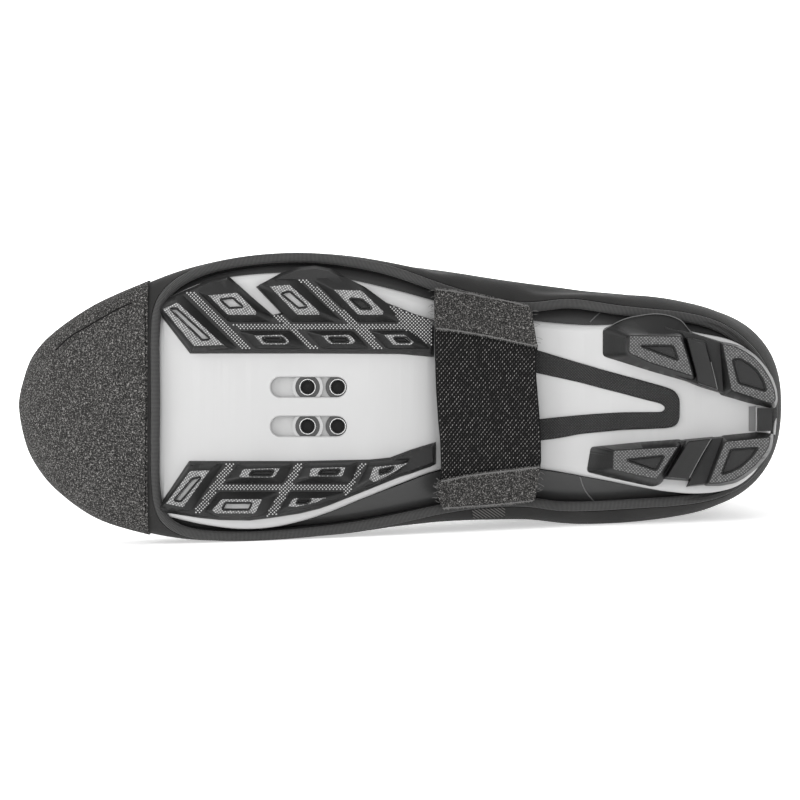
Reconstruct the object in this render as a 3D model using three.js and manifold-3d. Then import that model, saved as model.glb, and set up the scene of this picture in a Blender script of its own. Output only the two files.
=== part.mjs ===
// A neoprene cycling overshoe for the left foot, worn on its cycling shoe and lying on its medial side.
// Millimetres. Inside the group "shoe", x runs from toe to heel, y up through the foot and z to the lateral
// side.
import * as THREE from 'three';
import { mergeVertices } from 'three/addons/utils/BufferGeometryUtils.js';
import Module from 'manifold-3d';

const wasm = await Module();
wasm.setup();

// Driving dimensions
const LENGTH = 276;
const BALL_WIDTH = 103;
const COLLAR_HEIGHT = 170;
const COVER_WALL = 3;
const SHOE_WALL = 2;
const GAP = 0.3;
const SHOE_COLLAR_HEIGHT = 84;
const SHOE_COLLAR_SLOPE = 14;
const SHOE_THROAT_AT = 0.56;

const LUG_DEPTH = 6;
const TOE_SPRING = 28;
const ARCH_RISE = 11;
const HEEL_RISE = 5.5;
const PLATE_THICKNESS = 3.7;
const PAD_BASE = 2.4;
const LUG_DRAFT = 1.1;
const RECESS_DEPTH = 1.4;
const HEEL_BASE = 4;
const INLAY_THICKNESS = 0.9;
const INSOLE_THICKNESS = 3;

const TAPE_WIDTH = 3.5;
const TAPE_DEPTH = 3.3;
const TAPE_PROUD = 0.55;
const TAPE_RISE = 7;
const TAPE_RISE_HEEL = 16;
const HEEL_CUP_AT = 0.82;
const COLLAR_TAPE_HEIGHT = 9;
const PATCH_THICKNESS = 0.9;
const PATCH_END = 0.17;
const PATCH_TOP = 30;

const STRAP_THICKNESS = 1.5;
const STRAP_CLEARANCE = 1.5;
const TAB_THICKNESS = 1.2;

const CLEAT_AT = 0.38;
const CLEAT_ACROSS = -0.8;
const SLOT_PITCH = 14;
const SLOT_LENGTH = 27.3;
const SLOT_WIDTH = 7.2;
const BOSS_AT = [-0.4, 10.1];
const BOSS_DIAMETER = 5.8;
const THREAD_DIAMETER = 4.2;
const NUT_PLATE = { length: 42, width: 29, thickness: 1.6 };
const REST_FLAT = 0.4;

// How finely the solids are faceted, and a length beyond the whole shoe
const RINGS = 25;
const RING_POINTS = 24;
const BAND_STEPS = 32;
const TAPE_STEPS = 70;
const TAPE_SIDES = 6;
const PLATE_STEPS = 76;
const SLOT_END_STEPS = 8;
const BOSS_SIDES = 12;
const HULL_STEPS = 40;
const STRAP_STEPS = 14;
const TAB_STEPS = 5;
const REACH = 200;

// The underside of the sole plate: place along the length, share, and the rise that it is a share of.
const SOLE_LINE = [
  [0, 1, TOE_SPRING], [0.02, 0.68, TOE_SPRING], [0.05, 0.43, TOE_SPRING], [0.1, 0.24, TOE_SPRING],
  [0.16, 0.11, TOE_SPRING], [0.23, 0.035, TOE_SPRING], [0.3, 0, TOE_SPRING], [0.38, 0, TOE_SPRING],
  [0.46, 0, ARCH_RISE], [0.52, 0.22, ARCH_RISE], [0.58, 0.64, ARCH_RISE], [0.64, 0.95, ARCH_RISE],
  [0.7, 1, ARCH_RISE], [0.77, 0.78, ARCH_RISE], [0.84, 1.08, HEEL_RISE], [0.91, 1, HEEL_RISE],
  [0.97, 1, HEEL_RISE], [1, 1.15, HEEL_RISE],
];

// Sections of the foot, upright. Columns: place along the length, lateral and medial half width as shares of
// the ball width, top as a share of the collar height, level of the widest point as a share of the section,
// and how square its lower and upper halves are.
const FOOT = [
  [0, 0.04, 0.05, 0.24, 0.5, 2.2, 2.2],
  [0.006, 0.095, 0.12, 0.262, 0.48, 2.3, 2.2],
  [0.02, 0.175, 0.2, 0.294, 0.45, 2.5, 2.2],
  [0.05, 0.256, 0.296, 0.332, 0.4, 2.9, 2.3],
  [0.1, 0.344, 0.39, 0.368, 0.35, 3.5, 2.4],
  [0.16, 0.415, 0.442, 0.4, 0.32, 4.2, 2.4],
  [0.22, 0.474, 0.47, 0.43, 0.3, 4.6, 2.4],
  [0.29, 0.515, 0.476, 0.462, 0.27, 4.8, 2.3],
  [0.36, 0.53, 0.466, 0.503, 0.25, 4.8, 2.2],
  [0.43, 0.52, 0.45, 0.552, 0.24, 4.6, 2.1],
  [0.5, 0.492, 0.424, 0.608, 0.23, 4.2, 2],
  [0.56, 0.468, 0.413, 0.662, 0.23, 3.8, 2],
];

// Sections that fan round the ankle. Columns: place and height of the heel end, where null is on the sole,
// place and height of the front end, then half widths, widest level and squareness as above.
const ANKLE = [
  [0.615, null, 0.592, 0.71, 0.447, 0.41, 0.24, 3.6, 2],
  [0.69, null, 0.611, 0.754, 0.424, 0.41, 0.25, 3.4, 2],
  [0.78, null, 0.622, 0.798, 0.402, 0.424, 0.26, 3.2, 2],
  [0.87, null, 0.628, 0.838, 0.388, 0.412, 0.28, 2.9, 2],
  [0.94, null, 0.631, 0.87, 0.366, 0.394, 0.31, 2.7, 2],
  [0.98, 0.105, 0.632, 0.896, 0.352, 0.38, 0.35, 2.5, 2.1],
  [0.999, 0.21, 0.632, 0.918, 0.35, 0.376, 0.39, 2.4, 2.1],
  [0.996, 0.4, 0.631, 0.946, 0.348, 0.37, 0.43, 2.3, 2.2],
  [0.973, 0.6, 0.628, 0.975, 0.35, 0.366, 0.47, 2.2, 2.2],
  [0.961, 0.8, 0.624, 1.01, 0.356, 0.367, 0.5, 2.2, 2.2],
  [0.966, 0.97, 0.62, 1.05, 0.364, 0.37, 0.5, 2.2, 2.2],
  [0.975, 1.1, 0.616, 1.1, 0.37, 0.375, 0.5, 2.2, 2.2],
];

// Outlines in plan: place along the length, place across as a share of the ball width.
const OPENING = [
  [0.183, 0], [0.183, 0.29], [0.193, 0.37], [0.232, 0.445], [0.3, 0.49], [0.37, 0.502], [0.43, 0.484],
  [0.485, 0.452], [0.54, 0.395], [0.59, 0.355], [0.64, 0.325], [0.68, 0.322], [0.72, 0.345], [0.78, 0.362],
  [0.835, 0.34], [0.885, 0.295], [0.935, 0.222], [0.97, 0.11], [0.98, -0.035], [0.972, -0.165],
  [0.938, -0.276], [0.886, -0.345], [0.835, -0.385], [0.78, -0.402], [0.73, -0.378], [0.68, -0.325],
  [0.625, -0.322], [0.55, -0.345], [0.485, -0.392], [0.41, -0.44], [0.31, -0.46], [0.24, -0.45],
  [0.196, -0.405], [0.183, -0.32],
];
const PLATE = [
  [0.02, 0], [0.04, 0.18], [0.08, 0.275], [0.125, 0.33], [0.19, 0.365], [0.245, 0.425], [0.31, 0.452],
  [0.38, 0.455], [0.435, 0.432], [0.5, 0.392], [0.545, 0.36], [0.615, 0.318], [0.68, 0.29], [0.757, 0.276],
  [0.822, 0.288], [0.88, 0.25], [0.93, 0.205], [0.955, 0.145], [0.967, 0.07], [0.97, -0.03],
  [0.966, -0.12], [0.953, -0.2], [0.93, -0.255], [0.905, -0.284], [0.87, -0.302], [0.822, -0.296],
  [0.757, -0.26], [0.68, -0.225], [0.615, -0.214], [0.55, -0.228], [0.5, -0.274], [0.446, -0.33],
  [0.408, -0.372], [0.37, -0.405], [0.33, -0.427], [0.29, -0.432], [0.24, -0.415], [0.19, -0.385],
  [0.125, -0.352], [0.08, -0.3], [0.04, -0.2],
];
const PAD_LATERAL = [
  [0.188, 0.325], [0.196, 0.358], [0.24, 0.42], [0.272, 0.44], [0.281, 0.434], [0.333, 0.305],
  [0.348, 0.315], [0.313, 0.408], [0.345, 0.454], [0.388, 0.467], [0.43, 0.437], [0.473, 0.355],
  [0.542, 0.292], [0.542, 0.167], [0.227, 0.178],
];
const PAD_MEDIAL = [
  [0.188, -0.32], [0.225, -0.198], [0.483, -0.187], [0.546, -0.13], [0.546, -0.205], [0.498, -0.25],
  [0.458, -0.292], [0.413, -0.34], [0.368, -0.374], [0.326, -0.398], [0.284, -0.403], [0.24, -0.393],
  [0.19, -0.362],
];
const FOREFOOT_LUGS = {
  lateral: [
    [[0.19, 0.33], [0.212, 0.356], [0.268, 0.2], [0.233, 0.2]],
    [[0.248, 0.385], [0.285, 0.392], [0.315, 0.306], [0.279, 0.306]],
    [[0.325, 0.412], [0.357, 0.43], [0.397, 0.306], [0.367, 0.306]],
    [[0.409, 0.4], [0.441, 0.396], [0.48, 0.306], [0.445, 0.306]],
    [[0.303, 0.243], [0.347, 0.243], [0.361, 0.202], [0.316, 0.202]],
    [[0.395, 0.243], [0.433, 0.243], [0.446, 0.202], [0.405, 0.202]],
    [[0.472, 0.246], [0.511, 0.243], [0.525, 0.202], [0.487, 0.202]],
  ],
  medial: [
    [[0.228, -0.226], [0.255, -0.226], [0.216, -0.362], [0.194, -0.35]],
    [[0.292, -0.219], [0.347, -0.219], [0.335, -0.26], [0.286, -0.26]],
    [[0.269, -0.323], [0.323, -0.323], [0.304, -0.385], [0.252, -0.379]],
    [[0.386, -0.215], [0.435, -0.215], [0.424, -0.257], [0.377, -0.257]],
    [[0.358, -0.319], [0.408, -0.316], [0.379, -0.36], [0.351, -0.367]],
    [[0.466, -0.215], [0.509, -0.194], [0.488, -0.24], [0.454, -0.27]],
  ],
};
// Sunken middles of the larger lugs: which lug, then the share of the lug that is sunken.
const LUG_RECESSES = { lateral: [[0, 0.5], [1, 0.45], [2, 0.45], [3, 0.4]], medial: [[0, 0.5], [2, 0.5]] };

const HEEL_PADS = {
  lateral: [
    [0.762, 0.26], [0.785, 0.287], [0.822, 0.31], [0.846, 0.31], [0.873, 0.254], [0.915, 0.219],
    [0.945, 0.187], [0.966, 0.14], [0.977, 0.077], [0.979, 0.005], [0.96, -0.01], [0.762, 0.17],
  ],
  medial: [
    [0.747, -0.15], [0.96, -0.098], [0.979, -0.102], [0.975, -0.146], [0.965, -0.2], [0.946, -0.246],
    [0.922, -0.273], [0.89, -0.283], [0.866, -0.294], [0.873, -0.263], [0.837, -0.256], [0.829, -0.288],
    [0.741, -0.236],
  ],
};
// Heel lugs with the share of each that is sunken.
const HEEL_LUGS = {
  lateral: [
    [0.5, [[0.795, 0.235], [0.862, 0.235], [0.877, 0.096], [0.792, 0.18]]],
    [0.5, [
      [0.915, 0.207], [0.945, 0.18], [0.964, 0.132], [0.974, 0.07], [0.976, 0.012], [0.928, 0.046],
    ]],
  ],
  medial: [
    [0.5, [[0.774, -0.163], [0.858, -0.146], [0.833, -0.26], [0.773, -0.229]]],
    [0.5, [
      [0.917, -0.125], [0.973, -0.115], [0.966, -0.184], [0.946, -0.239], [0.922, -0.267], [0.892, -0.277],
    ]],
  ],
};
const HEEL_STEPS = {
  lateral: [[0.866, 0.232], [0.895, 0.22], [0.912, 0.05], [0.886, 0.078]],
  medial: [[0.866, -0.13], [0.9, -0.117], [0.87, -0.26], [0.842, -0.25]],
};
const INLAY = [
  [0.665, 0.195], [0.757, 0.125], [0.809, 0.087], [0.845, 0.056], [0.857, 0.034], [0.859, -0.02],
  [0.857, -0.06], [0.845, -0.08], [0.757, -0.094], [0.665, -0.132], [0.665, -0.06], [0.757, -0.032],
  [0.828, -0.032], [0.838, -0.014], [0.828, 0.007], [0.757, 0.056], [0.665, 0.113],
];

// The strap: place along, then where its two ends and the inner edges of its two tabs lie across.
const STRAP = [
  [0.543, 0.405, 0.26, -0.262, -0.365],
  [0.575, 0.398, 0.25, -0.245, -0.36],
  [0.61, 0.388, 0.235, -0.232, -0.355],
  [0.645, 0.372, 0.215, -0.222, -0.348],
  [0.677, 0.345, 0.197, -0.212, -0.338],
];
// Colour, roughness and metalness of each material.
const FINISHES = {
  cover: [0x3b3a3a, 0.85, 0], toe_patch: [0x4c4d4f, 0.9, 0], tape: [0x464646, 0.85, 0],
  web: [0x262626, 0.9, 0], shoe: [0x17181b, 0.4, 0], plate: [0xcfd0d2, 0.35, 0.1],
  rubber: [0x35363a, 0.6, 0], steel: [0x9a9a9c, 0.35, 0.9], foam: [0x2a2a2c, 0.95, 0],
};

// Solids from geometry and back
function solid(geometry) {
  const plain = geometry.clone();
  plain.deleteAttribute('normal');
  plain.deleteAttribute('uv');
  const merged = mergeVertices(plain, 1e-4);
  const mesh = new wasm.Mesh({
    numProp: 3,
    vertProperties: new Float32Array(merged.attributes.position.array),
    triVerts: new Uint32Array(merged.index.array),
  });
  return new wasm.Manifold(mesh);
}

function geometryOf(body) {
  const mesh = body.getMesh();
  const geometry = new THREE.BufferGeometry();
  geometry.setAttribute('position', new THREE.BufferAttribute(new Float32Array(mesh.vertProperties), 3));
  geometry.setIndex(new THREE.BufferAttribute(new Uint32Array(mesh.triVerts), 1));
  geometry.computeVertexNormals();
  return geometry;
}

// A closed skin over rings of equal point counts. A ringed loop joins last to first and has no end caps.
function loft(rings, loop = false) {
  const count = rings[0].length;
  const positions = rings.flat().flatMap((p) => [p.x, p.y, p.z]);
  const faces = [];
  const spans = loop ? rings.length : rings.length - 1;
  for (let i = 0; i < spans; i += 1) {
    for (let j = 0; j < count; j += 1) {
      const a = i * count + j;
      const b = i * count + ((j + 1) % count);
      const c = ((i + 1) % rings.length) * count + j;
      const d = ((i + 1) % rings.length) * count + ((j + 1) % count);
      faces.push(a, b, d, a, d, c);
    }
  }
  if (!loop) {
    for (const [ring, turn] of [[0, -1], [rings.length - 1, 1]]) {
      const centre = rings[ring].reduce((sum, p) => sum.add(p), new THREE.Vector3()).divideScalar(count);
      const hub = positions.length / 3;
      positions.push(centre.x, centre.y, centre.z);
      for (let j = 0; j < count; j += 1) {
        const a = ring * count + j;
        const b = ring * count + ((j + 1) % count);
        faces.push(...(turn > 0 ? [a, b, hub] : [b, a, hub]));
      }
    }
  }
  return closedSkin(positions, faces);
}

function closedSkin(positions, faces) {
  let volume = 0;
  const at = (k) => new THREE.Vector3(...positions.slice(3 * k, 3 * k + 3));
  for (let f = 0; f < faces.length; f += 3) {
    volume += at(faces[f]).dot(at(faces[f + 1]).cross(at(faces[f + 2])));
  }
  if (volume < 0) {
    for (let f = 0; f < faces.length; f += 3) {
      [faces[f], faces[f + 1]] = [faces[f + 1], faces[f]];
    }
  }
  const geometry = new THREE.BufferGeometry();
  geometry.setAttribute('position', new THREE.Float32BufferAttribute(positions, 3));
  geometry.setIndex(faces);
  return solid(geometry);
}

// Smooth reading of a list of numbers at a place between its entries.
function through(values, place) {
  const last = values.length - 1;
  const i = Math.min(Math.floor(place), last - 1);
  const t = place - i;
  const [b, c] = [values[i], values[i + 1]];
  const a = i > 0 ? values[i - 1] : 2 * b - c;
  const d = i + 2 <= last ? values[i + 2] : 2 * c - b;
  return b + 0.5 * t * (c - a + t * (2 * a - 5 * b + 4 * c - d + t * (3 * (b - c) + d - a)));
}

const SOLE_POINTS = SOLE_LINE.map(
  ([at, share, rise]) => new THREE.Vector3(at * LENGTH, LUG_DEPTH + share * rise, 0),
);
const SOLE_SAMPLES = SOLE_LINE.length * 4;
const SOLE_CURVE = new THREE.CatmullRomCurve3(SOLE_POINTS, false, 'centripetal').getPoints(SOLE_SAMPLES);

function soleHeight(x) {
  const next = SOLE_CURVE.findIndex((p) => p.x > x);
  if (next === 0) return SOLE_CURVE[0].y;
  if (next < 0) return SOLE_CURVE[SOLE_CURVE.length - 1].y;
  const [p, q] = [SOLE_CURVE[next - 1], SOLE_CURVE[next]];
  return Math.max(LUG_DEPTH, p.y + ((q.y - p.y) * (x - p.x)) / (q.x - p.x));
}

// Plan outlines, upright prisms on them, and bands between two heights along the shoe
const inPlan = (table) => table.map(([at, across]) => new THREE.Vector2(at * LENGTH, across * BALL_WIDTH));

function rounded(points, samples) {
  const corners = points.map((p) => new THREE.Vector3(p.x, p.y, 0));
  const curve = new THREE.CatmullRomCurve3(corners, true, 'centripetal');
  return curve.getPoints(samples).slice(0, -1).map((p) => new THREE.Vector2(p.x, p.y));
}

// The outline moved outwards, or inwards where the distance is negative.
function grown(points, distance) {
  const turn = THREE.ShapeUtils.area(points) > 0 ? 1 : -1;
  return points.map((p, i) => {
    const before = points[(i + points.length - 1) % points.length];
    const after = points[(i + 1) % points.length];
    const first = p.clone().sub(before).normalize();
    const second = after.clone().sub(p).normalize();
    const both = first.clone().add(second).normalize();
    const normal = new THREE.Vector2(both.y, -both.x).multiplyScalar(turn);
    const miter = Math.max(0.5, normal.x * first.y * turn - normal.y * first.x * turn);
    return p.clone().addScaledVector(normal, distance / miter);
  });
}

// The outline drawn in towards its middle.
function shrunk(points, share) {
  const centre = points.reduce((sum, p) => sum.add(p), new THREE.Vector2()).divideScalar(points.length);
  return points.map((p) => centre.clone().lerp(p, share));
}

function prism(points, bottom = -REACH / 2, top = REACH / 2) {
  const shape = new THREE.Shape(points);
  const geometry = new THREE.ExtrudeGeometry(shape, { depth: top - bottom, bevelEnabled: false });
  geometry.rotateX(Math.PI / 2);
  geometry.translate(0, top, 0);
  return solid(geometry);
}

function band(low, high) {
  const over = 0.02 * LENGTH;
  const places = Array.from({ length: BAND_STEPS + 1 }, (_, i) => (
    THREE.MathUtils.lerp(-over, LENGTH + over, i / BAND_STEPS)
  ));
  const lower = places.map((x) => new THREE.Vector2(x, low(x)));
  const upper = places.map((x) => new THREE.Vector2(x, high(x))).reverse();
  const shape = new THREE.Shape([...lower, ...upper]);
  const geometry = new THREE.ExtrudeGeometry(shape, { depth: REACH, bevelEnabled: false });
  geometry.translate(0, 0, -REACH / 2);
  return solid(geometry);
}

// A block on an outline that draws in towards its lower face.
function tapered(points, bottom, top, draft) {
  const rings = [[points, top], [grown(points, -draft), bottom]];
  return loft(rings.map(([outline, y]) => outline.map((p) => new THREE.Vector3(p.x, y, p.y))));
}

function block(x0, x1, y0, y1, z0, z1) {
  const geometry = new THREE.BoxGeometry(x1 - x0, y1 - y0, z1 - z0);
  geometry.translate((x0 + x1) / 2, (y0 + y1) / 2, (z0 + z1) / 2);
  return solid(geometry);
}

// The form of the foot and ankle: every shell of cover and shoe is this form moved inwards or outwards.
const FORM_BELOW_PLATE = COVER_WALL + GAP;
const formBottom = (x) => soleHeight(x) - FORM_BELOW_PLATE;

const STATIONS = [
  ...FOOT.map(([at, lateral, medial, top, ...shape]) => [
    at * LENGTH, formBottom(at * LENGTH), at * LENGTH, top * COLLAR_HEIGHT,
    lateral * BALL_WIDTH, medial * BALL_WIDTH, ...shape,
  ]),
  ...ANKLE.map(([heelAt, heelUp, frontAt, frontUp, lateral, medial, ...shape]) => [
    heelAt * LENGTH, heelUp === null ? formBottom(heelAt * LENGTH) : heelUp * COLLAR_HEIGHT,
    frontAt * LENGTH, frontUp * COLLAR_HEIGHT, lateral * BALL_WIDTH, medial * BALL_WIDTH, ...shape,
  ]),
];
const COLUMNS = STATIONS[0].map((_, column) => STATIONS.map((row) => row[column]));

function station(place) {
  const [heelX, heelY, frontX, frontY, ...section] = COLUMNS.map((column) => through(column, place));
  const [lateral, medial, widest, low, high] = section;
  const heel = new THREE.Vector2(heelX, heelY);
  const front = new THREE.Vector2(frontX, frontY);
  return { heel, front, lateral, medial, widest, low, high };
}

// The inward normals of the heel and front lines of the side view.
function inwards(place, end) {
  const step = 0.05;
  const last = STATIONS.length - 1;
  const before = station(Math.max(0, place - step))[end];
  const after = station(Math.min(last, place + step))[end];
  const along = after.sub(before).normalize();
  return end === 'heel' ? new THREE.Vector2(-along.y, along.x) : new THREE.Vector2(along.y, -along.x);
}

function ring(place, inset) {
  const { heel, front, lateral, medial, widest, low, high } = station(place);
  heel.addScaledVector(inwards(place, 'heel'), inset);
  front.addScaledVector(inwards(place, 'front'), inset);
  const reach = front.clone().sub(heel);
  const height = reach.length();
  reach.normalize();
  return Array.from({ length: RING_POINTS }, (_, j) => {
    const turn = (2 * Math.PI * j) / RING_POINTS;
    const [c, s] = [Math.cos(turn), Math.sin(turn)];
    const power = 2 / (s < 0 ? low : high);
    const half = (c > 0 ? lateral : medial) - inset;
    const across = half * Math.sign(c) * Math.abs(c) ** power;
    const rise = (s < 0 ? -widest : 1 - widest) * height * Math.abs(s) ** power;
    const side = heel.clone().addScaledVector(reach, widest * height + rise);
    return new THREE.Vector3(side.x, side.y, across);
  });
}

function form(inset) {
  const last = STATIONS.length - 1;
  return loft(Array.from({ length: RINGS + 1 }, (_, i) => ring((last * i) / RINGS, inset)));
}

const outerForm = form(0);
const shoeInset = COVER_WALL + GAP;
const innerInset = shoeInset + SHOE_WALL;
const shoeForm = form(shoeInset);

// The point of the form's underside over a place in plan, drawn inwards until it lies below a given height.
const probe = new THREE.Mesh(geometryOf(outerForm), new THREE.MeshBasicMaterial({ side: THREE.DoubleSide }));
const ray = new THREE.Raycaster();
const upwards = new THREE.Vector3(0, 1, 0);
const middle = LENGTH / 2;
const PULL = 0.004;
const LEAST_SHARE = 0.7;

function underside(x, z, most = REACH) {
  for (let share = 1; share > LEAST_SHARE; share -= PULL) {
    const [inX, inZ] = [middle + (x - middle) * share, z * share];
    ray.set(new THREE.Vector3(inX, -REACH, inZ), upwards);
    const hit = ray.intersectObject(probe)[0];
    if (hit && hit.point.y < formBottom(inX) + most) return hit.point;
  }
  throw new Error(`nothing of the form lies over ${x}, ${z}`);
}

// The edge tape of the opening under the sole: a closed tube along the cover's lower edge.
const openingOutline = rounded(inPlan(OPENING), TAPE_STEPS);

function tapeRise(x) {
  const inHeelCup = THREE.MathUtils.smoothstep(x / LENGTH, HEEL_CUP_AT, 1);
  return THREE.MathUtils.lerp(TAPE_RISE, TAPE_RISE_HEEL, inHeelCup);
}
const tapeLine = grown(openingOutline, TAPE_WIDTH / 2).map((p) => underside(p.x, p.y, tapeRise(p.x)));
const tapePath = smoothed(smoothed(tapeLine)).map((p) => p.setY(p.y + TAPE_DEPTH / 2 - TAPE_PROUD));

function smoothed(points) {
  return points.map((p, i) => {
    const before = points[(i + points.length - 1) % points.length];
    const after = points[(i + 1) % points.length];
    return p.clone().multiplyScalar(2).add(before).add(after).divideScalar(4);
  });
}

function edgeTube(extra) {
  const rings = tapePath.map((p, i) => {
    const before = tapePath[(i + tapePath.length - 1) % tapePath.length];
    const after = tapePath[(i + 1) % tapePath.length];
    const along = after.clone().sub(before).normalize();
    const out = along.clone().cross(upwards).normalize();
    const up = out.clone().cross(along).normalize();
    return Array.from({ length: TAPE_SIDES }, (_, j) => {
      const turn = (2 * Math.PI * (j + 0.5)) / TAPE_SIDES;
      const corner = Math.cos(Math.PI / TAPE_SIDES);
      return p.clone()
        .addScaledVector(out, (Math.cos(turn) * (TAPE_WIDTH / 2 + extra)) / corner)
        .addScaledVector(up, (Math.sin(turn) * (TAPE_DEPTH / 2 + extra)) / corner);
    });
  });
  return loft(rings, true);
}

const openingTape = edgeTube(0);
const tapeRoom = edgeTube(GAP);

// Cover: a hollow shell, open at the collar and under the sole. The cut draws in as it rises, first through
// the wall and then over the shoe's bottom edge. Columns: shares along and across, and how many walls higher.
const OPENING_RISE = [[0.985, 0.93, 1], [0.9, 0.5, 3]];

function drawnIn([alongShare, acrossShare, walls]) {
  return tapePath.map((p) => {
    const x = middle + (p.x - middle) * alongShare;
    const y = Math.max(p.y, soleHeight(x)) + walls * COVER_WALL;
    return new THREE.Vector3(x, y, p.z * acrossShare);
  });
}

const belowShoe = tapePath.map((p) => p.clone().setY(-REACH));
const opening = loft([belowShoe, tapePath, ...OPENING_RISE.map(drawnIn)]);
const coverTop = COLLAR_HEIGHT - COLLAR_TAPE_HEIGHT - GAP;
const underCollar = block(-REACH, 2 * REACH, -REACH, coverTop, -REACH, REACH);
const fullShell = outerForm.subtract(form(COVER_WALL)).intersect(underCollar);
const openShell = fullShell.subtract(opening).subtract(tapeRoom);

// Collar tape: a ring of the same form, a little proud on both faces
const collarBand = block(-REACH, 2 * REACH, COLLAR_HEIGHT - COLLAR_TAPE_HEIGHT, COLLAR_HEIGHT, -REACH, REACH);
const collarTape = form(-TAPE_PROUD).subtract(form(COVER_WALL + TAPE_PROUD)).intersect(collarBand);

// Toe patch: a layer over the underside of the toe
const patchRegion = block(-REACH, PATCH_END * LENGTH, -REACH, PATCH_TOP, -REACH, REACH);
const patchLayer = form(-GAP - PATCH_THICKNESS).subtract(form(-GAP));
const toePatch = patchLayer.intersect(patchRegion).subtract(tapeRoom);

// Sole plate
const plateOutline = rounded(inPlan(PLATE), PLATE_STEPS);
const farBelow = (x) => soleHeight(x) - REACH / 4;
const farAbove = (x) => soleHeight(x) + REACH / 4;
const plateTop = (x) => soleHeight(x) + PLATE_THICKNESS;
const overPlate = (x) => plateTop(x) + GAP;
const underPlate = (x) => soleHeight(x) - GAP;
const behindTape = block(OPENING[0][0] * LENGTH + 2 * GAP, 2 * REACH, -REACH, REACH, -REACH, REACH);
const plateLayer = prism(plateOutline).intersect(band(soleHeight, plateTop));
const plateBody = plateLayer.intersect(shoeForm.add(behindTape)).subtract(tapeRoom);
const plateShadow = prism(grown(plateOutline, GAP));
const plateRoom = plateShadow.intersect(band(farBelow, overPlate));

const coverShell = openShell.subtract(plateRoom.intersect(behindTape));

const cleatX = CLEAT_AT * LENGTH;
const slotRows = [CLEAT_ACROSS + SLOT_PITCH / 2, CLEAT_ACROSS - SLOT_PITCH / 2];

function slot(z, width, length) {
  const shape = new THREE.Shape();
  const run = (length - width) / 2;
  shape.absarc(cleatX + run, z, width / 2, -Math.PI / 2, Math.PI / 2, false);
  shape.absarc(cleatX - run, z, width / 2, Math.PI / 2, (3 * Math.PI) / 2, false);
  return prism(shape.getPoints(SLOT_END_STEPS));
}

const pocketFloor = soleHeight(cleatX) + PLATE_THICKNESS - NUT_PLATE.thickness - GAP;
const plateGap = NUT_PLATE.length / 2 + GAP;
const pocket = block(
  cleatX - plateGap, cleatX + plateGap, pocketFloor, pocketFloor + REACH / 4,
  CLEAT_ACROSS - NUT_PLATE.width / 2 - GAP, CLEAT_ACROSS + NUT_PLATE.width / 2 + GAP,
);
let solePlate = plateBody.subtract(pocket);
for (const z of slotRows) {
  solePlate = solePlate.subtract(slot(z, SLOT_WIDTH, SLOT_LENGTH));
}

// Nut plate: a steel plate in the pocket with four threaded bosses that reach down into the slots
function disc(x, z, diameter, bottom, top) {
  const geometry = new THREE.CylinderGeometry(diameter / 2, diameter / 2, top - bottom, BOSS_SIDES);
  geometry.translate(x, (bottom + top) / 2, z);
  return solid(geometry);
}
const nutBottom = pocketFloor + GAP;
const nutTop = nutBottom + NUT_PLATE.thickness;
let nutPlate = block(
  cleatX - NUT_PLATE.length / 2, cleatX + NUT_PLATE.length / 2, nutBottom, nutTop - GAP / 2,
  CLEAT_ACROSS - NUT_PLATE.width / 2, CLEAT_ACROSS + NUT_PLATE.width / 2,
);
for (const z of slotRows) {
  for (const at of BOSS_AT) {
    nutPlate = nutPlate.add(disc(cleatX + at, z, BOSS_DIAMETER, soleHeight(cleatX) + GAP, nutBottom + GAP));
    nutPlate = nutPlate.subtract(disc(cleatX + at, z, THREAD_DIAMETER, -REACH, REACH));
  }
}

// Shoe upper: a hollow shell, closed below by the sole plate and open at its low collar
const collarCut = new THREE.Shape([
  new THREE.Vector2(SHOE_THROAT_AT * LENGTH, SHOE_COLLAR_HEIGHT + SHOE_COLLAR_SLOPE),
  new THREE.Vector2(2 * REACH, SHOE_COLLAR_HEIGHT - SHOE_COLLAR_SLOPE / 2),
  new THREE.Vector2(2 * REACH, 2 * REACH),
  new THREE.Vector2(SHOE_THROAT_AT * LENGTH, 2 * REACH),
]);
const aboveShoe = new THREE.ExtrudeGeometry(collarCut, { depth: 2 * REACH, bevelEnabled: false });
aboveShoe.translate(0, 0, -REACH);
const shoeShell = shoeForm.subtract(form(innerInset)).subtract(solid(aboveShoe));
const shoeUpper = shoeShell.subtract(plateRoom).subtract(tapeRoom);

// Insole: lies on the plate inside the shoe
const insoleBand = band(overPlate, (x) => overPlate(x) + INSOLE_THICKNESS);
const insole = form(innerInset + GAP).intersect(insoleBand);

// Rubber pads of the forefoot: a base with channels between lugs, and lug faces that follow the sole line
const lugBand = band((x) => soleHeight(x) - LUG_DEPTH, underPlate);
const padBand = band((x) => underPlate(x) - PAD_BASE, plateTop);
const recessBand = band(farBelow, (x) => soleHeight(x) - LUG_DEPTH + RECESS_DEPTH);
const padCeiling = plateShadow.intersect(band(underPlate, farAbove)).add(form(COVER_WALL)).add(tapeRoom);
const LUG_ROOT = 1;

function middleOf(points) {
  return points.reduce((sum, p) => sum + p.x, 0) / points.length;
}

function forefootPad(side, outline) {
  const plan = inPlan(outline);
  let pad = prism(plan).intersect(padBand);
  for (const lug of FOREFOOT_LUGS[side]) {
    const points = inPlan(lug);
    const at = middleOf(points);
    const lowest = soleHeight(at) - LUG_DEPTH - LUG_ROOT;
    const body = tapered(grown(points, LUG_DRAFT), lowest, underPlate(at), LUG_DRAFT);
    pad = pad.add(body.intersect(lugBand).intersect(prism(plan)));
  }
  for (const [which, share] of LUG_RECESSES[side]) {
    const sunken = shrunk(inPlan(FOREFOOT_LUGS[side][which]), share);
    pad = pad.subtract(prism(sunken).intersect(recessBand));
  }
  return pad.subtract(padCeiling);
}

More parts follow.
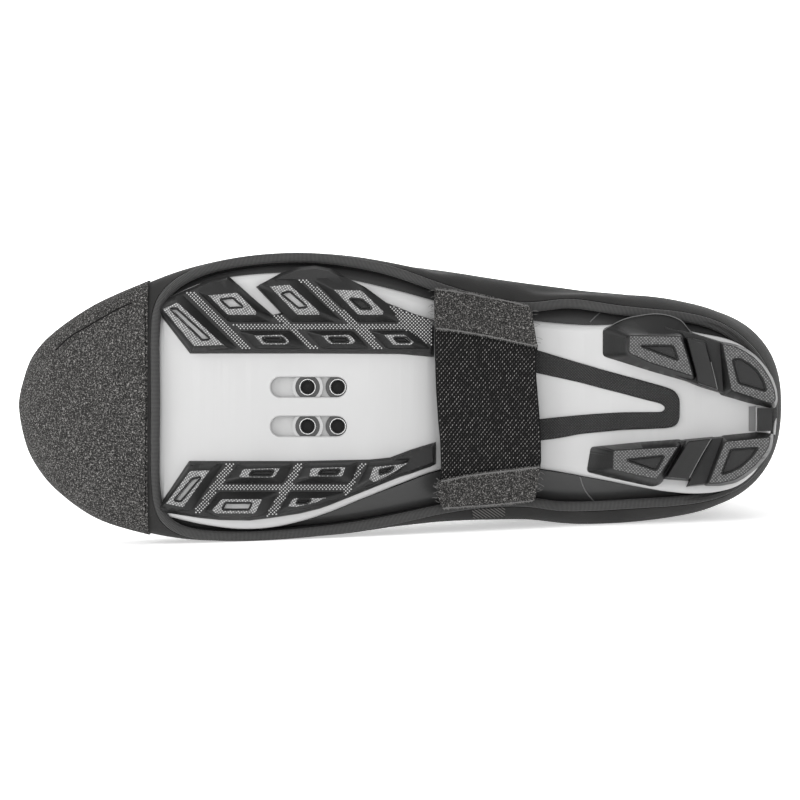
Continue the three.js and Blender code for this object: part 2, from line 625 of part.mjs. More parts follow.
// Heel pads: tall lugs on a base that follows the plate, with their faces on the ground plane
const heelBand = band((x) => underPlate(x) - HEEL_BASE, underPlate);
const belowHeel = band(farBelow, underPlate);

function heelPad(side) {
  let pad = prism(inPlan(HEEL_PADS[side])).intersect(heelBand);
  for (const [share, lug] of HEEL_LUGS[side]) {
    const points = inPlan(lug);
    const body = tapered(points, 0, underPlate(middleOf(points)) - LUG_ROOT, LUG_DRAFT);
    pad = pad.add(body.subtract(prism(shrunk(points, share), -RECESS_DEPTH, RECESS_DEPTH)));
  }
  const step = inPlan(HEEL_STEPS[side]);
  pad = pad.add(tapered(step, LUG_DEPTH / 2, underPlate(step[0].x) - LUG_ROOT, LUG_DRAFT));
  return pad.intersect(belowHeel);
}

// Inlay: a thin V of patterned rubber on the arch
const inlayBand = band((x) => underPlate(x) - INLAY_THICKNESS, underPlate);
const inlay = prism(inPlan(INLAY)).intersect(inlayBand);

// Arch strap: pulled tight, so it follows the lower hull of sole and cover across the foot. It crosses the
// plate on these shares of its lateral and medial reach.
const ON_PLATE = { lateral: 0.7, medial: 0.6 };

function strapHeight(x, reachOut, reachIn) {
  const points = Array.from({ length: HULL_STEPS + 1 }, (_, i) => {
    const z = THREE.MathUtils.lerp(reachIn, reachOut, i / HULL_STEPS);
    const onPlate = z < reachOut * ON_PLATE.lateral && z > reachIn * ON_PLATE.medial;
    const onCover = onPlate ? 0 : underside(x, z).y - TAPE_PROUD - STRAP_CLEARANCE;
    return new THREE.Vector2(z, onPlate ? underPlate(x) - INLAY_THICKNESS - GAP : onCover);
  });
  const hull = [];
  for (const p of points) {
    while (hull.length > 1) {
      const [a, b] = hull.slice(-2);
      if ((b.x - a.x) * (p.y - a.y) - (b.y - a.y) * (p.x - a.x) > 0) break;
      hull.pop();
    }
    hull.push(p);
  }
  return (z) => {
    const next = Math.max(1, hull.findIndex((p, i) => i > 0 && p.x >= z - 1e-6));
    const [a, b] = [hull[next - 1], hull[next]];
    const slope = (b.y - a.y) / (b.x - a.x);
    return { y: a.y + slope * (z - a.x), steep: Math.hypot(1, slope) };
  };
}

function strapLayer(from, to, near, far, steps) {
  const rings = STRAP.map((row) => {
    const x = row[0] * LENGTH;
    const height = strapHeight(x, row[1] * BALL_WIDTH, row[4] * BALL_WIDTH);
    const inner = [];
    const outer = [];
    for (let i = 0; i <= steps; i += 1) {
      const z = BALL_WIDTH * (row[from] + ((row[to] - row[from]) * i) / steps);
      const { y, steep } = height(z);
      inner.push(new THREE.Vector3(x, y - near * steep, z));
      outer.push(new THREE.Vector3(x, y - far * steep, z));
    }
    return [...inner, ...outer.reverse()];
  });
  return skinOfStrips(rings, steps);
}

// A bent sheet: its two ends are closed by strips between the inner and the outer line.
function skinOfStrips(rings, steps) {
  const count = rings[0].length;
  const positions = rings.flat().flatMap((p) => [p.x, p.y, p.z]);
  const faces = [];
  for (let i = 0; i + 1 < rings.length; i += 1) {
    for (let j = 0; j < count; j += 1) {
      const k = (j + 1) % count;
      const [a, b, c, d] = [i * count + j, i * count + k, (i + 1) * count + k, (i + 1) * count + j];
      faces.push(a, b, c, a, c, d);
    }
  }
  const close = (base, turn) => {
    for (let j = 0; j < steps; j += 1) {
      const [a, b, c, d] = [j, j + 1, count - 2 - j, count - 1 - j].map((v) => base + v);
      faces.push(...(turn ? [a, b, c, a, c, d] : [c, b, a, d, c, a]));
    }
  };
  close(0, false);
  close((rings.length - 1) * count, true);
  return closedSkin(positions, faces);
}

const strapWeb = strapLayer(1, 4, 0, STRAP_THICKNESS, STRAP_STEPS);
const tabNear = STRAP_THICKNESS + GAP;
const tabLateral = strapLayer(1, 2, tabNear, tabNear + TAB_THICKNESS, TAB_STEPS);
const tabMedial = strapLayer(3, 4, tabNear, tabNear + TAB_THICKNESS, TAB_STEPS);

// Trims off the slivers that the cuts leave loose beside the tape.
function mainBody(body) {
  return body.decompose().sort((a, b) => b.volume() - a.volume())[0];
}

// Posture: the shoe lies on its medial side, on the ball, the heel and the collar, each with a small flat
// spot
const RESTING = ['cover', 'opening_binding', 'collar_binding'];
const REST_ZONES = [
  (p) => p.x < 0.45 * LENGTH,
  (p) => p.x > 0.6 * LENGTH && p.y < 0.5 * COLLAR_HEIGHT,
  (p) => p.y > 0.8 * COLLAR_HEIGHT,
];
const REST_ROUNDS = 12;

function restingUp(points) {
  let up = new THREE.Vector3(0, 0, 1);
  for (let round = 0; round < REST_ROUNDS; round += 1) {
    const [ball, heel, collar] = REST_ZONES.map((zone) => points.filter(zone)
      .reduce((low, p) => (p.dot(up) < low.dot(up) ? p : low)));
    up = heel.clone().sub(ball).cross(collar.clone().sub(ball)).normalize();
  }
  return up;
}

function pointsOf(geometry) {
  const { position } = geometry.attributes;
  const point = (_, i) => new THREE.Vector3().fromBufferAttribute(position, i);
  return Array.from({ length: position.count }, point);
}

// The assembly
const pieces = [
  ['cover', mainBody(coverShell), FINISHES.cover],
  ['toe_patch', toePatch, FINISHES.toe_patch],
  ['opening_binding', openingTape, FINISHES.tape],
  ['collar_binding', collarTape, FINISHES.tape],
  ['arch_strap', strapWeb, FINISHES.web],
  ['strap_tab_lateral', tabLateral, FINISHES.toe_patch],
  ['strap_tab_medial', tabMedial, FINISHES.toe_patch],
  ['shoe_upper', shoeUpper, FINISHES.shoe],
  ['insole', insole, FINISHES.foam],
  ['sole_plate', solePlate, FINISHES.plate],
  ['cleat_nut_plate', nutPlate, FINISHES.steel],
  ['forefoot_pad_lateral', forefootPad('lateral', PAD_LATERAL), FINISHES.rubber],
  ['forefoot_pad_medial', forefootPad('medial', PAD_MEDIAL), FINISHES.rubber],
  ['heel_pad_lateral', heelPad('lateral'), FINISHES.rubber],
  ['heel_pad_medial', heelPad('medial'), FINISHES.rubber],
  ['arch_inlay', inlay, FINISHES.rubber],
];

const touching = pieces.filter(([name]) => RESTING.includes(name))
  .flatMap(([, body]) => pointsOf(geometryOf(body)));
const up = restingUp(touching);
const along = new THREE.Vector3(1, 0, 0).projectOnPlane(up).normalize();
const laidDown = new THREE.Matrix4().makeBasis(along, up.clone().cross(along), up).transpose();
const floorLevel = Math.min(...touching.map((p) => p.dot(up))) + REST_FLAT;
const overFloor = new THREE.BoxGeometry(4 * REACH, 4 * REACH, 2 * REACH);
overFloor.translate(0, 0, floorLevel + REACH);
overFloor.applyMatrix4(laidDown.clone().invert());
const aboveFloor = solid(overFloor);

const shoe = new THREE.Group();
for (const [name, body, [color, roughness, metalness]] of pieces) {
  const kept = RESTING.includes(name) ? body.intersect(aboveFloor) : body;
  const material = new THREE.MeshStandardMaterial({ color, roughness, metalness });
  const mesh = new THREE.Mesh(geometryOf(kept), material);
  mesh.name = name;
  shoe.add(mesh);
}
shoe.quaternion.setFromRotationMatrix(laidDown);

const model = new THREE.Group();
model.add(shoe);
model.updateMatrixWorld(true);
const whole = new THREE.Box3().setFromObject(shoe, true);
const centre = whole.getCenter(new THREE.Vector3());
shoe.position.set(-centre.x, -centre.y, -whole.min.z);

export default model;
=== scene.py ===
"""A left cycling overshoe on its cycling shoe, lying on its medial side with the sole to the camera."""
import math
import random

import bmesh
import bpy
import numpy as np
from mathutils import Matrix, Vector
from mathutils.bvhtree import BVHTree


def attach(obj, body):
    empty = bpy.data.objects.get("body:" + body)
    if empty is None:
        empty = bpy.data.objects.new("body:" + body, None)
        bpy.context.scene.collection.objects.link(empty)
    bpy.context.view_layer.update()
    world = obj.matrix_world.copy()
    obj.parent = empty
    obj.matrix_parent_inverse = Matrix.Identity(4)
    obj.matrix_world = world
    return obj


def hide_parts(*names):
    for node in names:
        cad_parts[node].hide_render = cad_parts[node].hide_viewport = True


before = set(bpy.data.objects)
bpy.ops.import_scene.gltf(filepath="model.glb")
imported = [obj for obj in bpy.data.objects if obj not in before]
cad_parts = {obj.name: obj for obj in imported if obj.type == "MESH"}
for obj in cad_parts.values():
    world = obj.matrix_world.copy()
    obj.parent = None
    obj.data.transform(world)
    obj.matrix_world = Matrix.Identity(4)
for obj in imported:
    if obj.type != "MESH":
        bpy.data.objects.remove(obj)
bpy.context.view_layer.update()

random.seed(7)

# Sizes in millimetres, in the shoe's own frame: x from toe to heel, y up through the foot, z lateral
MM = 0.001
LENGTH = 276
BALL_WIDTH = 103
COLLAR_HEIGHT = 170
COVER_WALL = 3
SHOE_WALL = 2
GAP = 0.3
LUG_DEPTH = 6
TOE_SPRING = 28
ARCH_RISE = 11
HEEL_RISE = 5.5
PLATE_THICKNESS = 3.7
SHOE_COLLAR_HEIGHT = 84
SHOE_COLLAR_SLOPE = 14
SHOE_THROAT_AT = 0.56
TAPE_WIDTH = 3.5
TAPE_DEPTH = 3.3
TAPE_PROUD = 0.55
TAPE_RISE = 7
TAPE_RISE_HEEL = 16
HEEL_CUP_AT = 0.82
COLLAR_TAPE_HEIGHT = 9
PATCH_THICKNESS = 0.5
PATCH_END = 0.1715
PATCH_TOP = 30
PATCH_GAP = 0.1
REACH = 200

# How the shoe lies: the floor's up direction and the toe end of the sole's ground plane
REST_UP = Vector((-0.039743, -0.033456, 0.99865)).normalized()
SHOE_ORIGIN = Vector((-137.396, -84.925, 52.57)) * MM


def laid_down():
    along = Vector((1, 0, 0))
    along = (along - REST_UP * along.dot(REST_UP)).normalized()
    rows = (along, REST_UP.cross(along), REST_UP)
    return Matrix.Translation(SHOE_ORIGIN) @ Matrix([list(r) for r in rows]).to_4x4()


TO_ROW = laid_down()

# Camera: square on to the sole, as far off as a long lens, with 2.8 pixels to a millimetre at the sole
CAMERA_DISTANCE = 2.0
PIXELS_PER_MM = 2.8
FRAME_PIXELS = 800
VIEW_CENTRE = Vector((137.5, LUG_DEPTH, 1.6)) * MM
FILM_WIDTH = 36.0


def add_camera():
    data = bpy.data.cameras.new("camera")
    data.sensor_width = FILM_WIDTH
    seen = FRAME_PIXELS / PIXELS_PER_MM * MM
    data.lens = FILM_WIDTH * CAMERA_DISTANCE / seen
    data.clip_end = 30
    camera = bpy.data.objects.new("camera", data)
    eye = VIEW_CENTRE - Vector((0, CAMERA_DISTANCE, 0))
    turn = Matrix(((1, 0, 0), (0, 0, -1), (0, 1, 0))).to_4x4()
    camera.matrix_world = TO_ROW @ Matrix.Translation(eye) @ turn
    bpy.context.collection.objects.link(camera)
    bpy.context.scene.camera = camera


def add_stage():
    start, bend = 2.4, 0.8
    profile = [(-6.0, 0.0), (start, 0.0)]
    for k in range(1, 13):
        turn = math.pi / 2 * k / 12
        profile.append((start + bend * math.sin(turn), bend * (1 - math.cos(turn))))
    profile.append((start + bend, 4.0))
    verts = [(x, y, z) for y, z in profile for x in (-4.0, 4.0)]
    faces = [(2 * k, 2 * k + 1, 2 * k + 3, 2 * k + 2) for k in range(len(profile) - 1)]
    mesh = bpy.data.meshes.new("floor")
    mesh.from_pydata(verts, [], faces)
    mesh.shade_smooth()
    floor = bpy.data.objects.new("floor", mesh)
    bpy.context.collection.objects.link(floor)
    mat = bpy.data.materials.new("stage_paper")
    mat.use_nodes = True
    shader = mat.node_tree.nodes["Principled BSDF"]
    shader.inputs["Base Color"].default_value = (0.95, 0.95, 0.95, 1)
    shader.inputs["Roughness"].default_value = 0.9
    shader.inputs["Emission Color"].default_value = (1, 1, 1, 1)
    shader.inputs["Emission Strength"].default_value = 0.5
    mesh.materials.append(mat)


def area_light(name, place, target, size, watts):
    data = bpy.data.lights.new(name, "AREA")
    data.shape = "RECTANGLE"
    data.size, data.size_y = size
    data.energy = watts
    light = bpy.data.objects.new(name, data)
    light.location = place
    light.rotation_euler = (Vector(target) - Vector(place)).to_track_quat("-Z", "Y").to_euler()
    bpy.context.collection.objects.link(light)


def add_lights():
    aim = (0, 0, 0.05)
    area_light("key_above", (-0.7, -1.1, 1.2), aim, (1.4, 1.0), 7)
    area_light("front_wide", (0.15, -2.6, 0.75), aim, (2.4, 1.2), 20)
    area_light("fill_left", (-1.8, -0.9, 0.5), aim, (1.0, 1.2), 21)
    area_light("fill_right", (1.8, -0.7, 0.7), aim, (1.0, 1.2), 3)
    area_light("overhead", (0.0, 0.25, 1.9), aim, (2.2, 1.2), 6)
    area_light("backdrop", (0, 1.8, 2.2), (0, 3.1, 0.9), (3.0, 0.8), 75)
    world = bpy.data.worlds.new("studio")
    world.use_nodes = True
    shade = world.node_tree.nodes["Background"]
    shade.inputs["Color"].default_value = (1, 1, 1, 1)
    shade.inputs["Strength"].default_value = 0.45
    bpy.context.scene.world = world


bpy.context.scene.view_settings.view_transform = "Standard"
add_camera()
add_stage()
add_lights()

# The underside of the sole plate: place along the length, share, and the rise that it is a share of.
SOLE_LINE = [
    (0, 1, TOE_SPRING), (0.02, 0.68, TOE_SPRING), (0.05, 0.43, TOE_SPRING), (0.1, 0.24, TOE_SPRING),
    (0.16, 0.11, TOE_SPRING), (0.23, 0.035, TOE_SPRING), (0.3, 0, TOE_SPRING), (0.38, 0, TOE_SPRING),
    (0.46, 0, ARCH_RISE), (0.52, 0.22, ARCH_RISE), (0.58, 0.64, ARCH_RISE), (0.64, 0.95, ARCH_RISE),
    (0.7, 1, ARCH_RISE), (0.77, 0.78, ARCH_RISE), (0.84, 1.08, HEEL_RISE), (0.91, 1, HEEL_RISE),
    (0.97, 1, HEEL_RISE), (1, 1.15, HEEL_RISE),
]

# Sections of the foot, upright. Columns: place along the length, lateral and medial half width as shares of
# the ball width, top as a share of the collar height, level of the widest point as a share of the section,
# and how square its lower and upper halves are.
FOOT = [
    (0, 0.04, 0.05, 0.24, 0.5, 2.2, 2.2),
    (0.006, 0.095, 0.12, 0.262, 0.48, 2.3, 2.2),
    (0.02, 0.175, 0.2, 0.294, 0.45, 2.5, 2.2),
    (0.05, 0.256, 0.296, 0.332, 0.4, 2.9, 2.3),
    (0.1, 0.344, 0.39, 0.368, 0.35, 3.5, 2.4),
    (0.16, 0.415, 0.442, 0.4, 0.32, 4.2, 2.4),
    (0.22, 0.474, 0.47, 0.43, 0.3, 4.6, 2.4),
    (0.29, 0.515, 0.476, 0.462, 0.27, 4.8, 2.3),
    (0.36, 0.53, 0.466, 0.503, 0.25, 4.8, 2.2),
    (0.43, 0.52, 0.45, 0.552, 0.24, 4.6, 2.1),
    (0.5, 0.492, 0.424, 0.608, 0.23, 4.2, 2),
    (0.56, 0.468, 0.413, 0.662, 0.23, 3.8, 2),
]

# Sections that fan round the ankle. Columns: place and height of the heel end, where None is on the sole,
# place and height of the front end, then half widths, widest level and squareness as above.
ANKLE = [
    (0.615, None, 0.592, 0.71, 0.447, 0.41, 0.24, 3.6, 2),
    (0.69, None, 0.611, 0.754, 0.424, 0.41, 0.25, 3.4, 2),
    (0.78, None, 0.622, 0.798, 0.402, 0.424, 0.26, 3.2, 2),
    (0.87, None, 0.628, 0.838, 0.388, 0.412, 0.28, 2.9, 2),
    (0.94, None, 0.631, 0.87, 0.366, 0.394, 0.31, 2.7, 2),
    (0.98, 0.105, 0.632, 0.896, 0.352, 0.38, 0.35, 2.5, 2.1),
    (0.999, 0.21, 0.632, 0.918, 0.35, 0.376, 0.39, 2.4, 2.1),
    (0.996, 0.4, 0.631, 0.946, 0.348, 0.37, 0.43, 2.3, 2.2),
    (0.973, 0.6, 0.628, 0.975, 0.35, 0.366, 0.47, 2.2, 2.2),
    (0.961, 0.8, 0.624, 1.01, 0.356, 0.367, 0.5, 2.2, 2.2),
    (0.966, 0.97, 0.62, 1.05, 0.364, 0.37, 0.5, 2.2, 2.2),
    (0.975, 1.1, 0.616, 1.1, 0.37, 0.375, 0.5, 2.2, 2.2),
]

# Outlines in plan: place along the length, place across as a share of the ball width.
OPENING = [
    (0.19, 0), (0.186, 0.28), (0.195, 0.367), (0.232, 0.445), (0.3, 0.49), (0.37, 0.502), (0.43, 0.484),
    (0.485, 0.452), (0.54, 0.395), (0.59, 0.355), (0.64, 0.325), (0.68, 0.322), (0.72, 0.345), (0.78, 0.362),
    (0.835, 0.34), (0.885, 0.295), (0.935, 0.222), (0.97, 0.11), (0.98, -0.035), (0.972, -0.165),
    (0.938, -0.276), (0.886, -0.345), (0.835, -0.385), (0.78, -0.402), (0.73, -0.378), (0.68, -0.325),
    (0.625, -0.322), (0.55, -0.345), (0.485, -0.392), (0.41, -0.44), (0.31, -0.46), (0.24, -0.45),
    (0.198, -0.403), (0.186, -0.31),
]
PLATE = [
    (0.02, 0), (0.04, 0.18), (0.08, 0.275), (0.125, 0.33), (0.19, 0.365), (0.245, 0.425), (0.31, 0.452),
    (0.38, 0.455), (0.435, 0.432), (0.5, 0.392), (0.545, 0.36), (0.615, 0.318), (0.68, 0.29), (0.757, 0.276),
    (0.822, 0.288), (0.88, 0.252), (0.923, 0.228), (0.945, 0.2), (0.959, 0.165), (0.971, 0.115),
    (0.978, 0.06), (0.981, 0), (0.981, -0.05), (0.978, -0.115), (0.97, -0.187), (0.957, -0.24),
    (0.937, -0.282), (0.912, -0.303), (0.88, -0.31), (0.845, -0.303), (0.815, -0.29),
    (0.757, -0.26), (0.68, -0.225), (0.615, -0.214), (0.55, -0.228), (0.5, -0.274), (0.446, -0.33),
    (0.408, -0.372), (0.37, -0.405), (0.33, -0.427), (0.29, -0.432), (0.24, -0.415), (0.19, -0.385),
    (0.125, -0.352), (0.08, -0.3), (0.04, -0.2),
]

# The strap: place along, then where its two ends and the inner edges of its two tabs lie across.
STRAP = [
    (0.543, 0.405, 0.26, -0.262, -0.365), (0.575, 0.398, 0.25, -0.245, -0.36),
    (0.61, 0.388, 0.235, -0.232, -0.355), (0.645, 0.372, 0.215, -0.222, -0.348),
    (0.677, 0.345, 0.197, -0.212, -0.338),
]
STRAP_THICKNESS = 1.5
TAB_THICKNESS = 1.2

# Soft creases of the neoprene: start, end, depth and half width. A negative depth is a ridge.
CREASES = [
    ((158, 112, -30), (166, 119, 34), 1.6, 6),
    ((149, 104, -26), (156, 112, 30), -1.0, 6),
    ((172, 128, -32), (176, 133, 30), 1.2, 5),
    ((262, 78, -24), (264, 84, 22), 1.3, 5),
    ((268, 62, -18), (268, 66, 20), -0.9, 5),
    ((246, 88, 33), (214, 104, 38), 1.1, 7),
    ((240, 84, -35), (206, 100, -39), 1.1, 7),
    ((188, 26, 41), (226, 40, 41), 1.2, 5),
    ((186, 20, 42), (214, 22, 38), -0.8, 4),
    ((150, 22, 50), (118, 34, 53), 0.9, 6),
    ((150, 30, -41), (186, 40, -41), 1.0, 6),
]


def smoothstep(value, low, high):
    t = min(1, max(0, (value - low) / (high - low)))
    return t * t * (3 - 2 * t)


def through(values, place):
    """Smooth reading of a table of numbers at a place between its rows."""
    last = len(values) - 1
    i = min(int(place), last - 1)
    t = place - i
    b, c = values[i], values[i + 1]
    a = values[i - 1] if i > 0 else 2 * b - c
    d = values[i + 2] if i + 2 <= last else 2 * c - b
    return b + 0.5 * t * (c - a + t * (2 * a - 5 * b + 4 * c - d + t * (3 * (b - c) + d - a)))


def spline(points, samples, closed):
    """A centripetal curve through the points, read at even steps of its parameter."""
    points = np.array(points, float)
    count = len(points)
    spans = count if closed else count - 1
    found = []
    for k in range(samples + 1):
        place = spans * k / samples
        i = min(int(place), spans - 1)
        t = place - i
        b, c = points[i], points[(i + 1) % count]
        a = points[i - 1] if closed or i > 0 else 2 * b - c
        d = points[(i + 2) % count] if closed or i + 2 < count else 2 * c - b
        near, here, far = (max(1e-6, np.linalg.norm(q - p)) ** 0.5 for p, q in ((a, b), (b, c), (c, d)))
        start = ((b - a) / near - (c - a) / (near + here) + (c - b) / here) * here
        end = ((c - b) / here - (d - b) / (here + far) + (d - c) / far) * here
        found.append(b + t * (start + t * (3 * (c - b) - 2 * start - end + t * (2 * (b - c) + start + end))))
    return np.array(found[:-1] if closed else found)


SOLE_CURVE = spline([(at * LENGTH, LUG_DEPTH + share * rise) for at, share, rise in SOLE_LINE], 72, False)


def sole_height(x):
    return np.maximum(LUG_DEPTH, np.interp(x, SOLE_CURVE[:, 0], SOLE_CURVE[:, 1]))


def form_bottom(x):
    return float(sole_height(x)) - COVER_WALL - GAP


def plate_top(x):
    return sole_height(x) + PLATE_THICKNESS


def in_plan(table):
    return np.array([(at * LENGTH, across * BALL_WIDTH) for at, across in table])


def table_of_stations():
    rows = []
    for at, lateral, medial, top, *shape in FOOT:
        ends = [at * LENGTH, form_bottom(at * LENGTH), at * LENGTH, top * COLLAR_HEIGHT]
        rows.append(ends + [lateral * BALL_WIDTH, medial * BALL_WIDTH] + shape)
    for heel_at, heel_up, front_at, front_up, lateral, medial, *shape in ANKLE:
        heel_y = form_bottom(heel_at * LENGTH) if heel_up is None else heel_up * COLLAR_HEIGHT
        ends = [heel_at * LENGTH, heel_y, front_at * LENGTH, front_up * COLLAR_HEIGHT]
        rows.append(ends + [lateral * BALL_WIDTH, medial * BALL_WIDTH] + shape)
    return np.array(rows, float)


STATIONS = table_of_stations()
LAST_STATION = len(STATIONS) - 1


def inwards(place, end):
    """The inward normals of the heel and front lines of the side view."""
    step = 0.05
    before = through(STATIONS, max(0, place - step))[end:end + 2]
    after = through(STATIONS, min(LAST_STATION, place + step))[end:end + 2]
    along = (after - before) / np.linalg.norm(after - before)
    return np.array((-along[1], along[0])) if end == 0 else np.array((along[1], -along[0]))


def form_ring(place, inset, count):
    row = through(STATIONS, place)
    heel = row[0:2] + inwards(place, 0) * inset
    front = row[2:4] + inwards(place, 2) * inset
    lateral, medial, widest, low, high = row[4:9]
    height = np.linalg.norm(front - heel)
    reach = (front - heel) / height
    turn = 2 * np.pi * np.arange(count) / count
    c, s = np.cos(turn), np.sin(turn)
    power = 2 / np.where(s < 0, low, high)
    half = np.where(c > 0, lateral, medial) - inset
    across = half * np.sign(c) * np.abs(c) ** power
    rise = np.where(s < 0, -widest, 1 - widest) * height * np.abs(s) ** power
    side = heel + np.outer(widest * height + rise, reach)
    return np.column_stack((side, across))


# Places read off the photograph, in its pixels: x to the right, y down
HALF_FRAME = FRAME_PIXELS / 2
EYE = VIEW_CENTRE / MM - Vector((0, CAMERA_DISTANCE / MM, 0))
HEEL_LEVEL = LUG_DEPTH + HEEL_RISE


def seen(pixels, level=LUG_DEPTH):
    """Places in plan, at a height, of points read off the photograph."""
    pixels = np.array(pixels, float)
    spread = (level - EYE.y) * MM / CAMERA_DISTANCE / PIXELS_PER_MM
    x = EYE.x + (pixels[:, 0] - HALF_FRAME) * spread
    z = EYE.z - (pixels[:, 1] - HALF_FRAME) * spread
    return np.column_stack((x, z))


def sighted(tree, pixel, lift=0.0):
    """Where the line of sight through a pixel first meets a surface, lifted off it, or None."""
    x, z = seen([pixel])[0]
    aim = (Vector((x, LUG_DEPTH, z)) - EYE).normalized()
    point, normal, _, _ = tree.ray_cast(EYE, aim)
    if point is None:
        return None
    if normal.dot(aim) > 0:
        normal = -normal
    return point + normal * lift


def turned_out(mesh):
    """The mesh with all its faces turned outwards."""
    shape = bmesh.new()
    shape.from_mesh(mesh)
    bmesh.ops.recalc_face_normals(shape, faces=shape.faces)
    shape.to_mesh(mesh)
    shape.free()
    return mesh


def sheet_mesh(name, lower, upper, width):
    """A thin closed sheet between two grids of points, in rows of the given width."""
    count = len(lower)
    rows = count // width
    faces = []
    for i in range(rows - 1):
        for j in range(width - 1):
            a = i * width + j
            quad = (a, a + 1, a + 1 + width, a + width)
            faces += [quad, tuple(count + v for v in quad[::-1])]
    rim = list(range(width)) + [i * width + width - 1 for i in range(1, rows)]
    rim += [(rows - 1) * width + j for j in range(width - 2, -1, -1)]
    rim += [i * width for i in range(rows - 2, 0, -1)]
    for a, b in zip(rim, rim[1:] + rim[:1]):
        faces.append((a, a + count, b + count, b))
    mesh = bpy.data.meshes.new(name)
    mesh.from_pydata(lower + upper, [], faces)
    return turned_out(mesh)


# Working solids: closed meshes that are cut by each other and then kept as one piece
def working_solid(name, verts, faces, slots=None):
    mesh = bpy.data.meshes.new(name)
    mesh.from_pydata([tuple(v) for v in verts], [], faces)
    if slots is not None:
        mesh.polygons.foreach_set("material_index", slots)
    made = bpy.data.objects.new(name, turned_out(mesh))
    bpy.context.collection.objects.link(made)
    return made


def discard(*objects):
    for item in objects:
        mesh = item.data
        bpy.data.objects.remove(item)
        bpy.data.meshes.remove(mesh)


def loft_faces(rings, count, closed=False):
    faces = []
    for i in range(rings if closed else rings - 1):
        for j in range(count):
            k = (j + 1) % count
            n = (i + 1) % rings
            faces.append((i * count + j, i * count + k, n * count + k, n * count + j))
    return faces


def loft(name, rings):
    """A closed solid over rings of equal point counts, with a fan at both ends."""
    count = len(rings[0])
    verts = [tuple(p) for ring in rings for p in ring]
    faces = loft_faces(len(rings), count)
    for start in (0, (len(rings) - 1) * count):
        hub = len(verts)
        verts.append(tuple(np.mean(verts[start:start + count], axis=0)))
        faces += [(start + j, start + (j + 1) % count, hub) for j in range(count)]
    return working_solid(name, verts, faces)


def looped(name, rings):
    """A closed solid over rings that run in a loop."""
    verts = [tuple(p) for ring in rings for p in ring]
    return working_solid(name, verts, loft_faces(len(rings), len(rings[0]), True))


def cut(body, operation, *tools):
    """The body joined with, cut by or limited to each tool in turn. The tools are used up."""
    for tool in tools:
        modifier = body.modifiers.new("cut", "BOOLEAN")
        modifier.operation = operation
        modifier.solver = BOOLEAN_SOLVER
        modifier.object = tool
    bpy.context.view_layer.update()
    evaluated = body.evaluated_get(bpy.context.evaluated_depsgraph_get())
    result = bpy.data.meshes.new_from_object(evaluated)
    old = body.data
    body.modifiers.clear()
    body.data = result
    bpy.data.meshes.remove(old)
    discard(*tools)
    return body


def block(low, high):
    verts = [(x, y, z) for x in (low[0], high[0]) for y in (low[1], high[1]) for z in (low[2], high[2])]
    faces = [(0, 1, 3, 2), (4, 6, 7, 5), (0, 4, 5, 1), (2, 3, 7, 6), (0, 2, 6, 4), (1, 5, 7, 3)]
    return working_solid("block", verts, faces)


def prism(outline, low=-REACH, high=REACH):
    """An upright solid on an outline in plan."""
    count = len(outline)
    verts = [(x, y, z) for y in (low, high) for x, z in outline]
    faces = loft_faces(2, count) + [tuple(range(count)), tuple(range(count, 2 * count))]
    return working_solid("prism", verts, faces)


def band(low, high, steps=140):
    """A slab across the whole shoe between two heights that follow the length."""
    places = np.linspace(-0.02 * LENGTH, 1.02 * LENGTH, steps + 1)
    line = [(x, low(x)) for x in places] + [(x, high(x)) for x in places[::-1]]
    count = len(line)
    verts = [(x, y, z) for z in (-REACH, REACH) for x, y in line]
    faces = loft_faces(2, count)
    for side in (0, count):
        for i in range(steps):
            faces.append((side + i, side + i + 1, side + count - 2 - i, side + count - 1 - i))
    return working_solid("band", verts, faces)


def grown(outline, distance):
    """The outline in plan moved outwards, or inwards where the distance is negative."""
    before = np.roll(outline, 1, axis=0)
    after = np.roll(outline, -1, axis=0)
    area = np.sum(outline[:, 0] * after[:, 1] - after[:, 0] * outline[:, 1])
    along = (outline - before) / np.linalg.norm(outline - before, axis=1)[:, None]
    along = along + (after - outline) / np.linalg.norm(after - outline, axis=1)[:, None]
    along /= np.linalg.norm(along, axis=1)[:, None]
    normal = np.column_stack((along[:, 1], -along[:, 0])) * (1 if area > 0 else -1)
    return outline + normal * distance


# The form of the foot and ankle: every shell of cover and shoe is this form moved inwards or outwards
FORM_RINGS = 132
FORM_POINTS = 112
TOE_DOME = (0.995, 0.9, 0.7, 0.4)
TOE_DOME_DEPTH = 0.3


def crease_depths(points):
    """How far the listed creases move each point inwards."""
    depths = np.zeros(len(points))
    for start, end, depth, width in CREASES:
        start, end = np.array(start, float), np.array(end, float)
        run = end - start
        share = np.clip((points - start) @ run / (run @ run), 0, 1)
        away = np.linalg.norm(points - start - share[:, None] * run, axis=1)
        depths += depth * np.exp(-(away / width) ** 2)
    return depths


def form(inset, creased=False):
    """A closed solid of the form, moved inwards by the inset. The toe end is domed."""
    places = [LAST_STATION * k / FORM_RINGS for k in range(FORM_RINGS + 1)]
    rings = [form_ring(place, inset, FORM_POINTS) for place in places]
    if creased:
        moved = [form_ring(place, inset + 1, FORM_POINTS) for place in places]
        for ring, inner in zip(rings, moved):
            ring += (inner - ring) * crease_depths(ring)[:, None]
    toe = rings[0]
    middle = toe.mean(axis=0)
    dome = []
    for share in TOE_DOME:
        ring = middle + (toe - middle) * share
        ring[:, 0] -= TOE_DOME_DEPTH * (1 - share ** 2) ** 0.5
        dome.append(ring)
    return loft("form", dome[::-1] + rings)


# The opening under the sole, and its edge tape
TAPE_CORNERS = 74
TAPE_RINGS = 1480
TAPE_SIDES = 14
PULL = 0.004


def probe_of(body):
    shape = bmesh.new()
    shape.from_mesh(body.data)
    tree = BVHTree.FromBMesh(shape)
    shape.free()
    return tree


